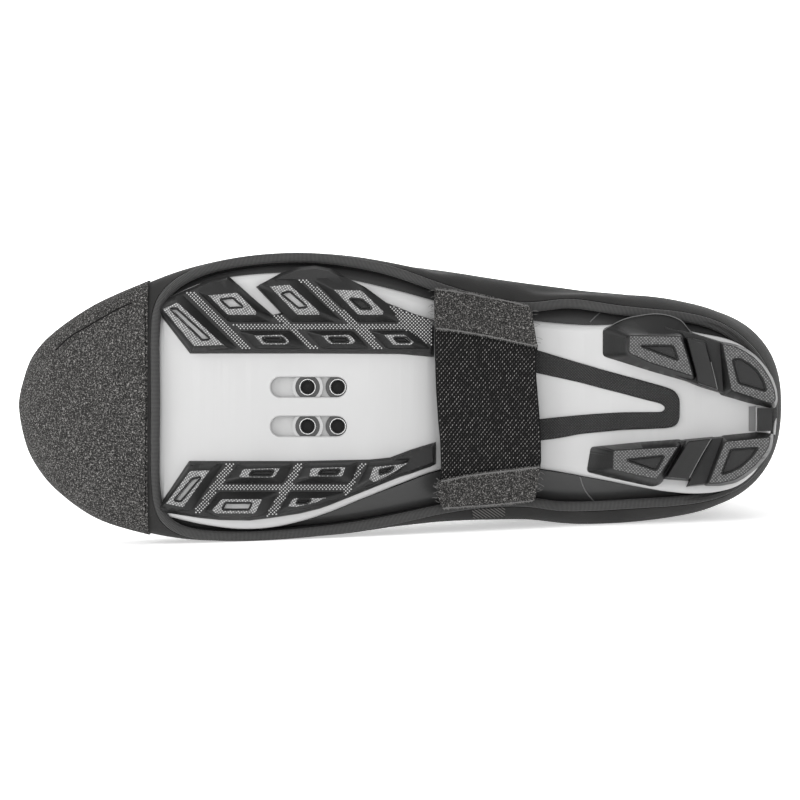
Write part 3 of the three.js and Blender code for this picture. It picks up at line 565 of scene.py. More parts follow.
def underside(tree, x, z, most=REACH):
    """The point of the form's underside over a place in plan, drawn inwards until it lies below a height."""
    middle = LENGTH / 2
    share = 1
    while share > 0.7:
        in_x, in_z = middle + (x - middle) * share, z * share
        hit = tree.ray_cast(Vector((in_x, -REACH, in_z)), Vector((0, 1, 0)))[0]
        if hit and hit.y < form_bottom(in_x) + most:
            return np.array(hit)
        share -= PULL
    raise ValueError("nothing of the form lies over this place")


def smoothed(points):
    return (2 * points + np.roll(points, 1, axis=0) + np.roll(points, -1, axis=0)) / 4


def tape_line(tree):
    outline = grown(spline(in_plan(OPENING), TAPE_CORNERS, True), TAPE_WIDTH / 2)
    line = []
    for x, z in outline:
        limit = TAPE_RISE + (TAPE_RISE_HEEL - TAPE_RISE) * smoothstep(x / LENGTH, HEEL_CUP_AT, 1)
        line.append(underside(tree, x, z, limit))
    line = smoothed(smoothed(np.array(line)))
    line[:, 1] += TAPE_DEPTH / 2 - TAPE_PROUD
    return line


def tube_rings(path, half_width, half_depth, sides, squareness=2.6):
    """Rings of a flattened tube along a closed path, level across the foot."""
    along = np.roll(path, -1, axis=0) - np.roll(path, 1, axis=0)
    along /= np.linalg.norm(along, axis=1)[:, None]
    out = np.cross(along, (0, 1, 0))
    out /= np.linalg.norm(out, axis=1)[:, None]
    rise = np.cross(out, along)
    turn = 2 * np.pi * (np.arange(sides) + 0.5) / sides
    c, s = np.cos(turn), np.sin(turn)
    wide = np.sign(c) * np.abs(c) ** (2 / squareness) * half_width
    deep = np.sign(s) * np.abs(s) ** (2 / squareness) * half_depth
    return path[:, None] + out[:, None] * wide[None, :, None] + rise[:, None] * deep[None, :, None]


BOOLEAN_SOLVER = "MANIFOLD"
outer = form(0)
outer_tree = probe_of(outer)
tape_corners = tape_line(outer_tree)
tape_path = spline(tape_corners, TAPE_RINGS, True)
discard(outer)


def tape_room(extra=GAP):
    path = spline(tape_corners, 4 * TAPE_CORNERS, True)
    half_width, half_depth = TAPE_WIDTH / 2 + extra, TAPE_DEPTH / 2 + extra
    return looped("tape_room", tube_rings(path, half_width, half_depth, 10))


def opening_room():
    """What the opening under the sole takes out of the cover."""
    path = spline(tape_corners, 4 * TAPE_CORNERS, True)
    middle = LENGTH / 2
    rings = [path * (1, 0, 1) - (0, REACH, 0), path]
    for along_share, across_share, level in ((0.985, 0.93, COVER_WALL), (0.9, 0.5, 3 * COVER_WALL)):
        x = middle + (path[:, 0] - middle) * along_share
        y = np.maximum(path[:, 1], sole_height(x)) + level
        rings.append(np.column_stack((x, y, path[:, 2] * across_share)))
    return loft("opening", rings)


# Pieces of the scene: a finished mesh in the shoe's own frame, laid down with it
def piece(name, mesh, paints, node=None, slot=None, sharp=35, flat=False, choose=None):
    mesh.materials.clear()
    for paint in paints:
        mesh.materials.append(paint)
    if choose:
        for face in mesh.polygons:
            face.material_index = choose(face.center, face.normal)
    mesh.transform(TO_ROW @ Matrix.Scale(MM, 4))
    for vertex in mesh.vertices:
        if vertex.co.z < 0:
            vertex.co.z = 0
    mesh.name = name
    if flat:
        mesh.shade_flat()
    else:
        mesh.shade_smooth()
        mesh.set_sharp_from_angle(angle=math.radians(sharp))
    made = bpy.data.objects.new(name, mesh)
    bpy.context.collection.objects.link(made)
    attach(made, "root")
    if node:
        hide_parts(node)
    return made


def kept(body, name, paints, **words):
    """A working solid taken over as a piece."""
    mesh = body.data
    bpy.data.objects.remove(body)
    return piece(name, mesh, paints, **words)


# Material helpers
class Paint:
    """A node material under construction. Coordinates are metres in the shoe's own frame."""

    def __init__(self, name, colour, roughness, metallic=0.0, shine=0.5):
        self.mat = bpy.data.materials.new(name)
        self.mat.use_nodes = True
        self.nodes = self.mat.node_tree.nodes
        self.links = self.mat.node_tree.links
        self.shader = self.nodes["Principled BSDF"]
        self.shader.inputs["Base Color"].default_value = (*colour, 1)
        self.shader.inputs["Roughness"].default_value = roughness
        self.shader.inputs["Metallic"].default_value = metallic
        self.shader.inputs["Specular IOR Level"].default_value = shine
        self.coords = self.nodes.new("ShaderNodeTexCoord")

    def node(self, kind, **values):
        made = self.nodes.new(kind)
        for key, value in values.items():
            if hasattr(made, key):
                setattr(made, key, value)
            else:
                made.inputs[key.replace("_", " ")].default_value = value
        return made

    def link(self, source, target):
        self.links.new(source, target)

    def where(self, scale=(1, 1, 1), turn=(0, 0, 0), space="Object"):
        mapping = self.node("ShaderNodeMapping")
        mapping.inputs["Scale"].default_value = scale
        mapping.inputs["Rotation"].default_value = turn
        self.link(self.coords.outputs[space], mapping.inputs["Vector"])
        return mapping.outputs["Vector"]

    def axes(self, vector):
        made = self.node("ShaderNodeSeparateXYZ")
        self.link(vector, made.inputs["Vector"])
        return made.outputs["X"], made.outputs["Y"], made.outputs["Z"]

    def noise(self, scale, detail=3.0, rough=0.5, vector=None):
        made = self.node("ShaderNodeTexNoise")
        made.inputs["Scale"].default_value = scale
        made.inputs["Detail"].default_value = detail
        made.inputs["Roughness"].default_value = rough
        self.link(vector or self.coords.outputs["Object"], made.inputs["Vector"])
        return made.outputs["Fac"]

    def ramp(self, factor, stops):
        made = self.node("ShaderNodeValToRGB")
        ramp = made.color_ramp
        while len(ramp.elements) < len(stops):
            ramp.elements.new(0.5)
        for element, (place, colour) in zip(ramp.elements, stops):
            element.position = place
            element.color = (*colour, 1)
        self.link(factor, made.inputs["Fac"])
        return made.outputs["Color"]

    def math(self, operation, a, b=0.5):
        made = self.node("ShaderNodeMath", operation=operation)
        for socket, value in zip(made.inputs, (a, b)):
            if isinstance(value, (int, float)):
                socket.default_value = value
            else:
                self.link(value, socket)
        return made.outputs["Value"]

    def wave(self, value, pitch):
        """A wave between 0 and 1 along a coordinate in metres."""
        turns = self.math("MULTIPLY", value, 2 * math.pi / pitch)
        return self.math("ADD", self.math("MULTIPLY", self.math("SINE", turns), 0.5), 0.5)

    def crossed(self, pitch, degrees=45):
        """Raised dots where two slanted waves in plan cross, between 0 and 1."""
        x, _, z = self.axes(self.where(turn=(0, math.radians(degrees), 0)))
        return self.math("MULTIPLY", self.wave(x, pitch), self.wave(z, pitch))

    def attribute(self, name):
        return self.node("ShaderNodeAttribute", attribute_name=name).outputs["Fac"]

    def bump(self, height, distance, strength=1.0):
        made = self.node("ShaderNodeBump")
        made.inputs["Strength"].default_value = strength
        made.inputs["Distance"].default_value = distance
        self.link(height, made.inputs["Height"])
        if self.shader.inputs["Normal"].is_linked:
            self.link(self.shader.inputs["Normal"].links[0].from_socket, made.inputs["Normal"])
        self.link(made.outputs["Normal"], self.shader.inputs["Normal"])

    def colour(self, socket):
        self.link(socket, self.shader.inputs["Base Color"])

    def coat(self, weight, roughness):
        self.shader.inputs["Coat Weight"].default_value = weight
        self.shader.inputs["Coat Roughness"].default_value = roughness

    def sheen(self, weight, roughness):
        self.shader.inputs["Sheen Weight"].default_value = weight
        self.shader.inputs["Sheen Roughness"].default_value = roughness


def grey(value, warm=0.0):
    return (value * (1 + warm), value, value * (1 - warm))


def neoprene_paint():
    paint = Paint("neoprene_jersey", grey(0.03), 0.8, shine=0.12)
    paint.sheen(0.06, 0.4)
    tone = paint.noise(60, 4)
    paint.colour(paint.ramp(tone, [(0.3, grey(0.021, 0.01)), (0.7, grey(0.031, 0.02))]))
    paint.bump(paint.noise(1900, 2), 0.00022, 0.45)
    paint.bump(paint.noise(260, 3), 0.0004, 0.2)
    return paint.mat


def lining_paint():
    paint = Paint("fleece_lining", grey(0.02), 0.95, shine=0.1)
    paint.bump(paint.noise(900, 4), 0.0005, 0.6)
    return paint.mat


def speckle_paint():
    paint = Paint("speckled_fabric", grey(0.05), 0.88, shine=0.15)
    yarn = paint.noise(1900, 2, 0.75)
    fine = paint.noise(4000, 1, 0.5)
    cloth = paint.math("ADD", paint.math("MULTIPLY", yarn, 0.65), paint.math("MULTIPLY", fine, 0.35))
    stops = [(0.38, 0.006), (0.49, 0.022), (0.57, 0.08), (0.66, 0.34)]
    paint.colour(paint.ramp(cloth, [(place, grey(tone, 0.03)) for place, tone in stops]))
    paint.bump(cloth, 0.0003, 0.5)
    return paint.mat


RIB_PITCH = 0.00047


def tape_paint():
    """Binding tape: fine ribs across it, placed along the tape's own length in metres."""
    paint = Paint("ribbed_tape", grey(0.045), 0.75, shine=0.25)
    along = paint.axes(paint.where(space="UV"))[0]
    rib = paint.wave(along, RIB_PITCH)
    paint.colour(paint.ramp(rib, [(0.15, grey(0.022)), (0.85, grey(0.075, 0.01))]))
    paint.bump(rib, 0.00018, 0.6)
    paint.sheen(0.15, 0.4)
    return paint.mat


def twill_paint():
    """Diagonal twill of pale and dark yarns."""
    paint = Paint("twill_tape", grey(0.05), 0.85, shine=0.15)
    line = paint.wave(paint.axes(paint.where(turn=(0, 0.9, 0)))[0], 0.0009)
    paint.colour(paint.ramp(line, [(0.2, grey(0.012)), (0.8, grey(0.11, 0.03))]))
    paint.bump(line, 0.0002, 0.5)
    return paint.mat


def web_paint():
    paint = Paint("elastic_web", grey(0.008), 0.8, shine=0.15)
    height = paint.attribute("weave")
    # Painted highlights: the colour climbs from near-black in the ground to pale grey at the yarn ridges
    paint.colour(paint.ramp(height, [(0.25, grey(0.005)), (0.6, grey(0.03, 0.02)), (0.95, grey(0.36, 0.03))]))
    paint.bump(paint.noise(2600, 2), 0.0002, 0.5)
    return paint.mat


def shoe_paint():
    paint = Paint("synthetic_leather", grey(0.032), 0.34, shine=0.45)
    paint.bump(paint.noise(900, 3), 0.0001, 0.25)
    return paint.mat


def trim_paint():
    # Pale grey for the shoe upper's seams, and for cords that are painted highlights along heel edges
    paint = Paint("pale_trim_and_edge_highlight", grey(0.13), 0.45)
    paint.bump(paint.noise(1500, 2), 0.0001, 0.3)
    return paint.mat


def plate_paint():
    paint = Paint("silver_sole", grey(0.46), 0.3)
    paint.coat(0.2, 0.12)
    paint.bump(paint.noise(140, 2), 0.0003, 0.05)
    return paint.mat


def rubber_paint():
    paint = Paint("moulded_rubber", grey(0.0105), 0.46, shine=0.3)
    paint.coat(0.05, 0.3)
    paint.bump(paint.noise(1300, 3), 0.00012, 0.35)
    return paint.mat


def tread_paint(name, pitch, degrees, low, high, depth):
    """Rubber with a fine moulded grain of raised dots, bumped, whose colour rises towards the high tone on the dots
    as a painted highlight.
    """
    paint = Paint(name, grey(low), 0.45, shine=0.3)
    dots = paint.crossed(pitch, degrees)
    worn = paint.math("MULTIPLY", paint.noise(900, 3, 0.7), 0.9)
    grain = paint.math("ADD", paint.math("MULTIPLY", dots, 0.75), paint.math("SUBTRACT", worn, 0.1))
    # Painted highlight: the dots climb from the low tone to the high tone, and the noise varies the tone at random
    paint.colour(paint.ramp(grain, [(0.3, grey(low)), (0.7, grey((2 * low + high) / 3)), (1.0, grey(high))]))
    paint.bump(dots, depth, 0.8)
    return paint.mat


def stud_paint(name, dark, bright, roughness):
    """Small moulded points with a painted highlight on their tips: dark at the base, bright at the tip."""
    paint = Paint(name, grey(dark), roughness, shine=0.3)
    peak = paint.attribute("peak")
    middle = (dark + bright) / 3
    paint.colour(paint.ramp(peak, [(0.15, grey(dark)), (0.5, grey(middle)), (0.85, grey(bright))]))
    paint.bump(paint.noise(2400, 2), 0.0001, 0.3)
    return paint.mat


def thread_paint(name, tone):
    """Twisted thread."""
    paint = Paint(name, grey(tone, 0.02), 0.85, shine=0.15)
    twist = paint.wave(paint.axes(paint.where(turn=(0, 0.8, 0)))[0], 0.0003)
    paint.colour(paint.ramp(twist, [(0.1, grey(tone * 0.6)), (0.9, grey(tone * 1.3, 0.02))]))
    paint.bump(twist, 0.0001, 0.5)
    return paint.mat


def metal_paint(name, tone, roughness, metallic=1.0):
    paint = Paint(name, grey(tone), roughness, metallic)
    paint.bump(paint.noise(1100, 2), 0.00008, 0.3)
    return paint.mat


def foam_paint():
    paint = Paint("insole_cloth", grey(0.03), 0.95)
    paint.bump(paint.noise(1200, 2), 0.0003, 0.5)
    return paint.mat


NEOPRENE = neoprene_paint()
LINING = lining_paint()
SPECKLE = speckle_paint()
TAPE = tape_paint()
WEB = web_paint()
SHOE = shoe_paint()
PALE_TRIM_AND_EDGE_HIGHLIGHT = trim_paint()
SILVER = plate_paint()
RUBBER = rubber_paint()
# Knurl and inlay points: the bright tone is a painted highlight on each tip
KNURL = stud_paint("knurled_channel", 0.006, 0.9, 0.4)
INLAY_STUD = stud_paint("inlay_stud", 0.006, 0.07, 0.5)
# Lug and heel faces: the real moulded grain, painted far lighter than the plain rubber of the walls as painted
# light
LIT_LUG_FACE = tread_paint("grained_lug_face_painted_light", 0.0008, 30, 0.09, 0.55, 0.0002)
LIT_HEEL_FACE = tread_paint("hatched_heel_face_painted_light", 0.00085, 40, 0.04, 0.22, 0.0002)
THREAD = thread_paint("sewing_thread", 0.006)
PALE_THREAD = thread_paint("pale_thread", 0.16)
# Grey for the heel plate's end step: painted shade standing for its shaded wall
STEP_SHADE_PAINT = metal_paint("painted_step_shade", 0.14, 0.4, 0.0)
INLAY_GRAIN = tread_paint("dotted_inlay", 0.0007, 45, 0.005, 0.04, 0.0002)
STEEL = metal_paint("zinc_steel", 0.75, 0.25)
# Near-black for the bores and collars behind the cleat slots: painted shade
BORE_AND_COLLAR_SHADE = metal_paint("steel_with_painted_shade", 0.06, 0.4, 0.6)
NUT_PALE = metal_paint("pale_nut_plate", 0.4, 0.4, 0.0)
FOAM = foam_paint()
TWILL = twill_paint()


# Cover, shoe upper and their bindings
def collar_room():
    top = COLLAR_HEIGHT - COLLAR_TAPE_HEIGHT - GAP
    return block((-REACH, -REACH, -REACH), (2 * REACH, top, REACH))


def plate_room():
    outline = grown(spline(in_plan(PLATE), 164, True), GAP)
    level = band(lambda x: sole_height(x) - 50, lambda x: plate_top(x) + GAP)
    return cut(prism(outline), "INTERSECT", level)


def behind_tape():
    return block((OPENING[0][0] * LENGTH + 2 * GAP, -REACH, -REACH), (2 * REACH, REACH, REACH))


def make_cover():
    inner = form(COVER_WALL, True)
    tree = probe_of(inner)
    body = cut(form(0, True), "DIFFERENCE", inner, opening_room(), tape_room())
    cut(body, "DIFFERENCE", cut(plate_room(), "INTERSECT", behind_tape()))
    cut(body, "INTERSECT", collar_room())
    inner_side = lambda centre, _: 1 if tree.find_nearest(centre)[3] < COVER_WALL / 4 else 0
    kept(body, "neoprene_cover", [NEOPRENE, LINING], node="cover", slot="neoprene", choose=inner_side)


def make_toe_patch():
    region = block((-REACH, -REACH, -REACH), (PATCH_END * LENGTH, PATCH_TOP, REACH))
    body = cut(form(-PATCH_GAP - PATCH_THICKNESS), "DIFFERENCE", form(-PATCH_GAP), tape_room())
    cut(body, "INTERSECT", region)
    return kept(body, "speckled_toe_patch", [SPECKLE], node="toe_patch", slot="toe_fabric")


def ring_lengths(path):
    steps = np.linalg.norm(np.roll(path, -1, axis=0) - path, axis=1)
    return np.concatenate(([0], np.cumsum(steps)))


def ribbed_mesh(name, rings, path):
    """A looped tube with its own length, in metres, as the first UV coordinate."""
    count = len(rings[0])
    verts = [tuple(p) for ring in rings for p in ring]
    faces = loft_faces(len(rings), count, True)
    mesh = bpy.data.meshes.new(name)
    mesh.from_pydata(verts, [], faces)
    along = ring_lengths(path) * MM
    layer = mesh.uv_layers.new(name="along")
    for i in range(len(rings)):
        for j in range(count):
            loop = 4 * (i * count + j)
            here, there = along[i], along[i + 1]
            for k, (u, v) in enumerate(((here, j), (here, j + 1), (there, j + 1), (there, j))):
                layer.data[loop + k].uv = (u, v / count * TAPE_WIDTH * MM)
    return turned_out(mesh)


def make_opening_binding():
    rings = tube_rings(tape_path, TAPE_WIDTH / 2, TAPE_DEPTH / 2, TAPE_SIDES)
    mesh = ribbed_mesh("binding", rings, tape_path)
    return piece("opening_binding_tape", mesh, [TAPE], node="opening_binding", slot="tape", sharp=60)


def collar_line(inset):
    """Where the form crosses the collar's height, as a closed line of points."""
    places = np.linspace(LAST_STATION - 2.5, LAST_STATION, 60)
    rings = np.array([form_ring(place, inset, 240) for place in places])
    level = COLLAR_HEIGHT - COLLAR_TAPE_HEIGHT / 2
    line = []
    for j in range(rings.shape[1]):
        column = rings[:, j]
        line.append([np.interp(level, column[:, 1], column[:, k]) for k in range(3)])
    return np.array(line)


def make_collar_binding():
    outline = spline(collar_line(COVER_WALL / 2), 1200, True)
    half_width = COVER_WALL / 2 + TAPE_PROUD
    rings = tube_rings(outline, half_width, COLLAR_TAPE_HEIGHT / 2, 20, 4.5)
    mesh = ribbed_mesh("collar", rings, outline)
    return piece("collar_binding_tape", mesh, [TAPE], node="collar_binding", slot="tape", sharp=60)


def make_shoe_upper():
    inset = COVER_WALL + GAP
    body = cut(form(inset), "DIFFERENCE", form(inset + SHOE_WALL), plate_room(), tape_room())
    throat = SHOE_THROAT_AT * LENGTH
    side = [(throat, SHOE_COLLAR_HEIGHT + SHOE_COLLAR_SLOPE)]
    side += [(2 * REACH, SHOE_COLLAR_HEIGHT - SHOE_COLLAR_SLOPE / 2), (2 * REACH, 2 * REACH), (throat, 2 * REACH)]
    verts = [(x, y, z) for z in (-REACH, REACH) for x, y in side]
    faces = loft_faces(2, 4) + [(0, 1, 2, 3), (4, 5, 6, 7)]
    cut(body, "DIFFERENCE", working_solid("above_shoe", verts, faces))
    return kept(body, "cycling_shoe_upper", [SHOE], node="shoe_upper", slot="shoe_upper")


make_cover()
make_toe_patch()
make_opening_binding()
make_collar_binding()
make_shoe_upper()


# Arch strap: pulled tight, so it follows the lower hull of sole and cover across the foot
STRAP_ROWS = np.array(STRAP) * (LENGTH, BALL_WIDTH, BALL_WIDTH, BALL_WIDTH, BALL_WIDTH)
HULL_STEPS = 40
ON_PLATE = (0.6, 0.7)
INLAY_THICKNESS = 0.9
STRAP_CLEARANCE = 1.5


def strap_hull(x, reach_out, reach_in):
    """The lower hull at one place of the length, as rows of place across and height."""
    points = []
    for z in np.linspace(reach_in, reach_out, HULL_STEPS + 1):
        if reach_in * ON_PLATE[0] < z < reach_out * ON_PLATE[1]:
            y = sole_height(x) - INLAY_THICKNESS - 2 * GAP
        else:
            y = underside(outer_tree, x, z)[1] - TAPE_PROUD - STRAP_CLEARANCE
        points.append((z, float(y)))
    hull = []
    for p in points:
        while len(hull) > 1:
            a, b = hull[-2], hull[-1]
            if (b[0] - a[0]) * (p[1] - a[1]) - (b[1] - a[1]) * (p[0] - a[0]) > 0:
                break
            hull.pop()
        hull.append(p)
    return np.array(hull)


STRAP_HULLS = [strap_hull(row[0], row[1], row[4]) for row in STRAP_ROWS]


def strap_level(x, z):
    """Height of the strap's inner face and the steepness of the strap across the foot."""
    levels = []
    for hull in STRAP_HULLS:
        y = np.interp(z, hull[:, 0], hull[:, 1])
        slope = (np.interp(z + 0.5, hull[:, 0], hull[:, 1]) - np.interp(z - 0.5, hull[:, 0], hull[:, 1]))
        levels.append((y, math.hypot(1, slope)))
    levels = np.array(levels)
    return [float(np.interp(x, STRAP_ROWS[:, 0], levels[:, k])) for k in (0, 1)]


# The strap's front and rear edges as seen: pixel down the photograph, then the pixel across it
FRONT_EDGE = [
    (285, 435), (300, 434), (360, 435), (390, 436), (420, 438), (440, 440), (470, 441), (497, 438), (511, 443),
]
REAR_EDGE = [
    (299, 513), (301, 522), (304, 528), (309, 531.5), (320, 533), (340, 536), (347, 538), (353, 536), (375, 536),
    (400, 538), (430, 540.5), (461, 541), (480, 538), (495, 536), (503, 533),
]


def edge_x(edge, z, x):
    """Where the strap's edge lies along the shoe at a place across it."""
    level = float(sole_height(x)) - INLAY_THICKNESS - STRAP_THICKNESS
    spread = (level - EYE.y) * MM / CAMERA_DISTANCE / PIXELS_PER_MM
    down = HALF_FRAME - (z - EYE.z) / spread
    across = np.interp(down, [row[0] for row in edge], [row[1] for row in edge])
    return EYE.x + (across - HALF_FRAME) * spread


def trimmed(x, z):
    """The place along the shoe, drawn in so that the strap's edges run as they are seen."""
    low, high = STRAP_ROWS[0, 0], STRAP_ROWS[-1, 0]
    front, rear = edge_x(FRONT_EDGE, z, low), edge_x(REAR_EDGE, z, high)
    return front + (rear - front) * (x - low) / (high - low)


def strap_sheet(name, edges, steps, near, thickness, relief):
    """A bent sheet between two lines across the foot. Relief gives each outer point's height and shade."""
    along, across = steps
    inner, outer, shades = [], [], []
    for i in range(along + 1):
        x = STRAP_ROWS[0, 0] + (STRAP_ROWS[-1, 0] - STRAP_ROWS[0, 0]) * i / along
        start, end = (float(np.interp(x, STRAP_ROWS[:, 0], STRAP_ROWS[:, k])) for k in edges)
        for j in range(across + 1):
            z = start + (end - start) * j / across
            y, steep = strap_level(x, z)
            rise, shade = relief(x, z, i / along, j / across)
            place = trimmed(x, z)
            inner.append((place, y - near * steep, z))
            outer.append((place, y - (near + thickness + rise) * steep, z))
            shades.append(shade)
    mesh = sheet_mesh(name, inner, outer, across + 1)
    layer = mesh.attributes.new("weave", "FLOAT", "POINT")
    layer.data.foreach_set("value", [SHADED] * len(inner) + shades)
    return mesh


# Shares of the weave's height, which the web's colour turns into painted highlights that grow towards the yarn
# ridges: in the ground and at the foot of a yarn
GROUND, SHADED = 0.2, 0.3
WEB_PITCH = 1.45
WEB_ROW = 0.84
WEB_DEPTH = 0.35
YARN_LENGTH = 0.92
YARN_WIDTH = 0.62
YARN_LEAN = 66


def web_ground(x, z, along, across):
    return 0.0, GROUND


def add_yarns(web_name):
    """Slanted elastic weave: rows of short raised yarns, each row half a step on from the last. Each yarn's ridge
    carries a painted highlight.
    """
    lean = math.radians(YARN_LEAN)
    ahead = np.array((math.cos(lean), math.sin(lean)))
    aside = np.array((-ahead[1], ahead[0]))
    low_x, high_x = STRAP_ROWS[0, 0], STRAP_ROWS[-1, 0]
    shape = [(0.5, 0), (0.3, 0.42), (-0.3, 0.42), (-0.5, 0), (-0.3, -0.42), (0.3, -0.42)]
    ridge = [(0.26, 0), (-0.26, 0)]
    verts, faces, shades = [], [], []
    row = 0
    z = STRAP_ROWS[:, 4].min()
    while z < STRAP_ROWS[:, 1].max():
        x = low_x + 0.7 + (WEB_PITCH / 2 if row % 2 else 0)
        while x < high_x - 0.6:
            start, end = (float(np.interp(x, STRAP_ROWS[:, 0], STRAP_ROWS[:, k])) for k in (4, 1))
            if start + 0.6 < z < end - 0.6:
                here = len(verts)
                y, steep = strap_level(x, z)
                middle = np.array((trimmed(x, z), z))
                stretch = random.uniform(0.8, 1.15)
                for (u, v), rise in [(p, -0.05) for p in shape] + [(p, WEB_DEPTH) for p in ridge]:
                    px, pz = middle + ahead * u * YARN_LENGTH * stretch + aside * v * YARN_WIDTH
                    tilt = strap_level(x, pz)[0] - y
                    verts.append((px, y + tilt - (STRAP_THICKNESS - WEB_DEPTH + rise) * steep, pz))
                faces += [(here, here + 1, here + 6), (here + 1, here + 2, here + 7, here + 6)]
                faces += [(here + 2, here + 3, here + 7), (here + 3, here + 4, here + 7)]
                faces += [(here + 4, here + 5, here + 6, here + 7), (here + 5, here, here + 6)]
                faces.append(tuple(here + k for k in range(5, -1, -1)))
                # Each ridge gets its own strength of painted highlight
                shine = random.uniform(0.65, 1.0)
                shades += [SHADED] * len(shape) + [shine] * len(ridge)
            x += WEB_PITCH
        z += WEB_ROW
        row += 1
    mesh = bpy.data.meshes.new(web_name)
    mesh.from_pydata(verts, [], faces)
    mesh.attributes.new("weave", "FLOAT", "POINT").data.foreach_set("value", shades)
    piece(web_name, mesh, [WEB], slot="web", sharp=80)


def tab_relief(x, z, along, across):
    """A tab is thicker along its turned edges."""
    away = min(along, 1 - along) * 36
    ends = min(across, 1 - across) * 15
    fold = math.exp(-(min(away, ends) / 1.6) ** 2)
    return 0.25 * fold, 0.5


def make_strap():
    web = strap_sheet("web", (1, 4), (40, 90), 0, STRAP_THICKNESS - WEB_DEPTH, web_ground)
    piece("arch_strap_web", web, [WEB], node="arch_strap", slot="web", sharp=80)
    add_yarns("arch_strap_yarns")
    near = STRAP_THICKNESS + GAP
    for name, edges in (("lateral", (1, 2)), ("medial", (3, 4))):
        tab = strap_sheet("tab", edges, (40, 18), near, TAB_THICKNESS, tab_relief)
        node = "strap_tab_" + name
        piece("speckled_tab_" + name, tab, [SPECKLE], node=node, slot="toe_fabric", sharp=60)


make_strap()


def lateral_pad_outline():
    return seen([
        (157, 311), (160, 304), (172, 296), (190, 288), (210, 279.5), (228, 276), (232, 279), (252, 297),
        (273, 315), (281, 313), (256, 287), (270, 279), (281, 273), (300, 267), (315, 265.5), (330, 268.5),
        (345, 277), (350, 280), (370, 293), (385, 302), (400, 308), (415, 314), (434, 320), (434, 357),
        (400, 354), (310, 353.5), (190, 353.5),
    ])


def medial_pad_outline():
    return seen([
        (158, 507), (189, 461), (300, 461), (370, 459.5), (390, 457.5), (410, 450), (436, 442), (436, 464),
        (430, 467), (410, 474), (400, 477), (380, 485), (370, 489), (350, 497), (330, 505), (320, 508.5),
        (300, 513.5), (290, 515), (270, 518), (250, 520.5), (220, 520), (200, 518), (180, 515), (160, 512),
    ])


# Lugs of the forefoot: foot, face, sunken middle and whether its floor is silver
LATERAL_LUGS = [
    ([(159, 310), (165, 302.5), (182, 294), (238, 348.5), (191, 351)],
     [(162, 309), (178, 301.5), (226, 346), (194, 347)],
     [(171, 309), (177, 309), (210, 339), (203, 340)], True),
    ([(197, 291), (210, 282), (230, 280), (271, 316), (273, 322.5), (229, 322.5)],
     [(207, 295), (238, 292), (258, 312), (257, 316), (228, 316)],
     [(221, 300), (233, 298.5), (243, 307), (230, 308)], True),
    ([(257, 286), (270, 279.5), (297, 279), (319, 300), (344, 322.5), (292, 322.5), (283, 314)],
     [(268, 286), (290, 284), (321, 312), (320, 316), (297, 316)],
     [(282, 294), (290, 292), (307, 307), (299, 308)], True),
    ([(312, 279), (345, 277), (365, 287), (388, 304), (402, 322.5), (358, 322.5), (334, 301)],
     [(332, 289), (362, 290), (385, 312), (383, 316), (358, 316)],
     [(350, 299), (362, 300), (372, 309), (361, 309)], False),
    ([(238, 331), (291, 331), (308, 349), (256, 349)],
     [(253, 335), (283, 334), (291, 341), (288, 345.5), (262, 345.5)],
     [(263, 338), (282, 338), (286, 342), (266, 342)], False),
    ([(305, 331), (353, 331), (370, 349), (322, 349)],
     [(320, 335), (350, 334), (357, 341), (353, 345), (330, 345)],
     [(329, 338), (346, 338), (349, 342), (333, 342)], False),
    ([(370, 331), (412, 331), (431, 349), (387, 349)],
     [(382, 334), (405, 334), (415, 342), (412, 346), (393, 346)],
     [(394, 338), (406, 338), (410, 342), (398, 342)], False),
]
MEDIAL_LUGS = [
    ([(160, 507), (189, 465), (224, 463.5), (192, 511), (172, 511)],
     [(190, 470), (212, 469), (184, 508), (165, 504)],
     [(193, 479), (201, 477), (181, 501), (175, 500)], True),
    ([(238, 463.5), (294, 463.5), (283, 483.5), (224, 483.5)],
     [(243, 468), (282, 467), (275, 478), (238, 478)],
     [(253, 471), (274, 470.5), (271, 475), (250, 475)], False),
    ([(306, 463.5), (359, 462), (351, 483.5), (294, 483.5)],
     [(311, 467), (347, 466), (343, 477), (308, 477)],
     [(322, 470), (340, 469.5), (337, 474), (319, 474)], False),
    ([(369, 462), (411, 458), (400, 471), (372, 486), (354, 491)],
     [(373, 466), (409, 462.5), (396, 472), (375, 483), (368, 480)],
     [(380, 470), (394, 467), (389, 471), (380, 474)], False),
    ([(219, 491.5), (279, 491.5), (266, 514), (250, 517), (220, 517), (204, 512)],
     [(222, 498), (264, 498), (256, 514), (216, 514), (211, 510)],
     [(226, 503), (252, 503), (249, 509), (223, 509)], True),
    ([(290, 491.5), (349, 491.5), (336, 500), (320, 505.5), (300, 511), (277, 515)],
     [(293, 497), (328, 497), (318, 502.5), (297, 507.5), (287, 507)],
     [(299, 499.5), (311, 499.5), (308, 502.5), (297, 503)], False),
]
# Knurled channels between them
LATERAL_CHANNELS = [
    [(184, 293), (196, 291), (251, 348.5), (241, 348.5)],
    [(274, 316), (282, 315), (318, 348.5), (310, 348.5)],
    [(299, 280), (309, 280), (333, 301), (355, 320), (369, 330), (383, 348.5), (373, 348.5), (356, 332),
     (342, 318), (320, 300)],
    [(232, 323.5), (402, 323.5), (402, 330), (239, 330)],
    [(389, 305), (433, 321), (433, 347), (403, 330)],
]
MEDIAL_CHANNELS = [
    [(226, 464), (236, 464), (202, 513), (193, 513)],
    [(296, 464), (304, 464), (276, 515), (266, 516)],
    [(361, 463), (367, 462), (349, 493), (341, 498)],
    [(212, 484.5), (350, 484.5), (346, 490.5), (208, 490.5)],
]

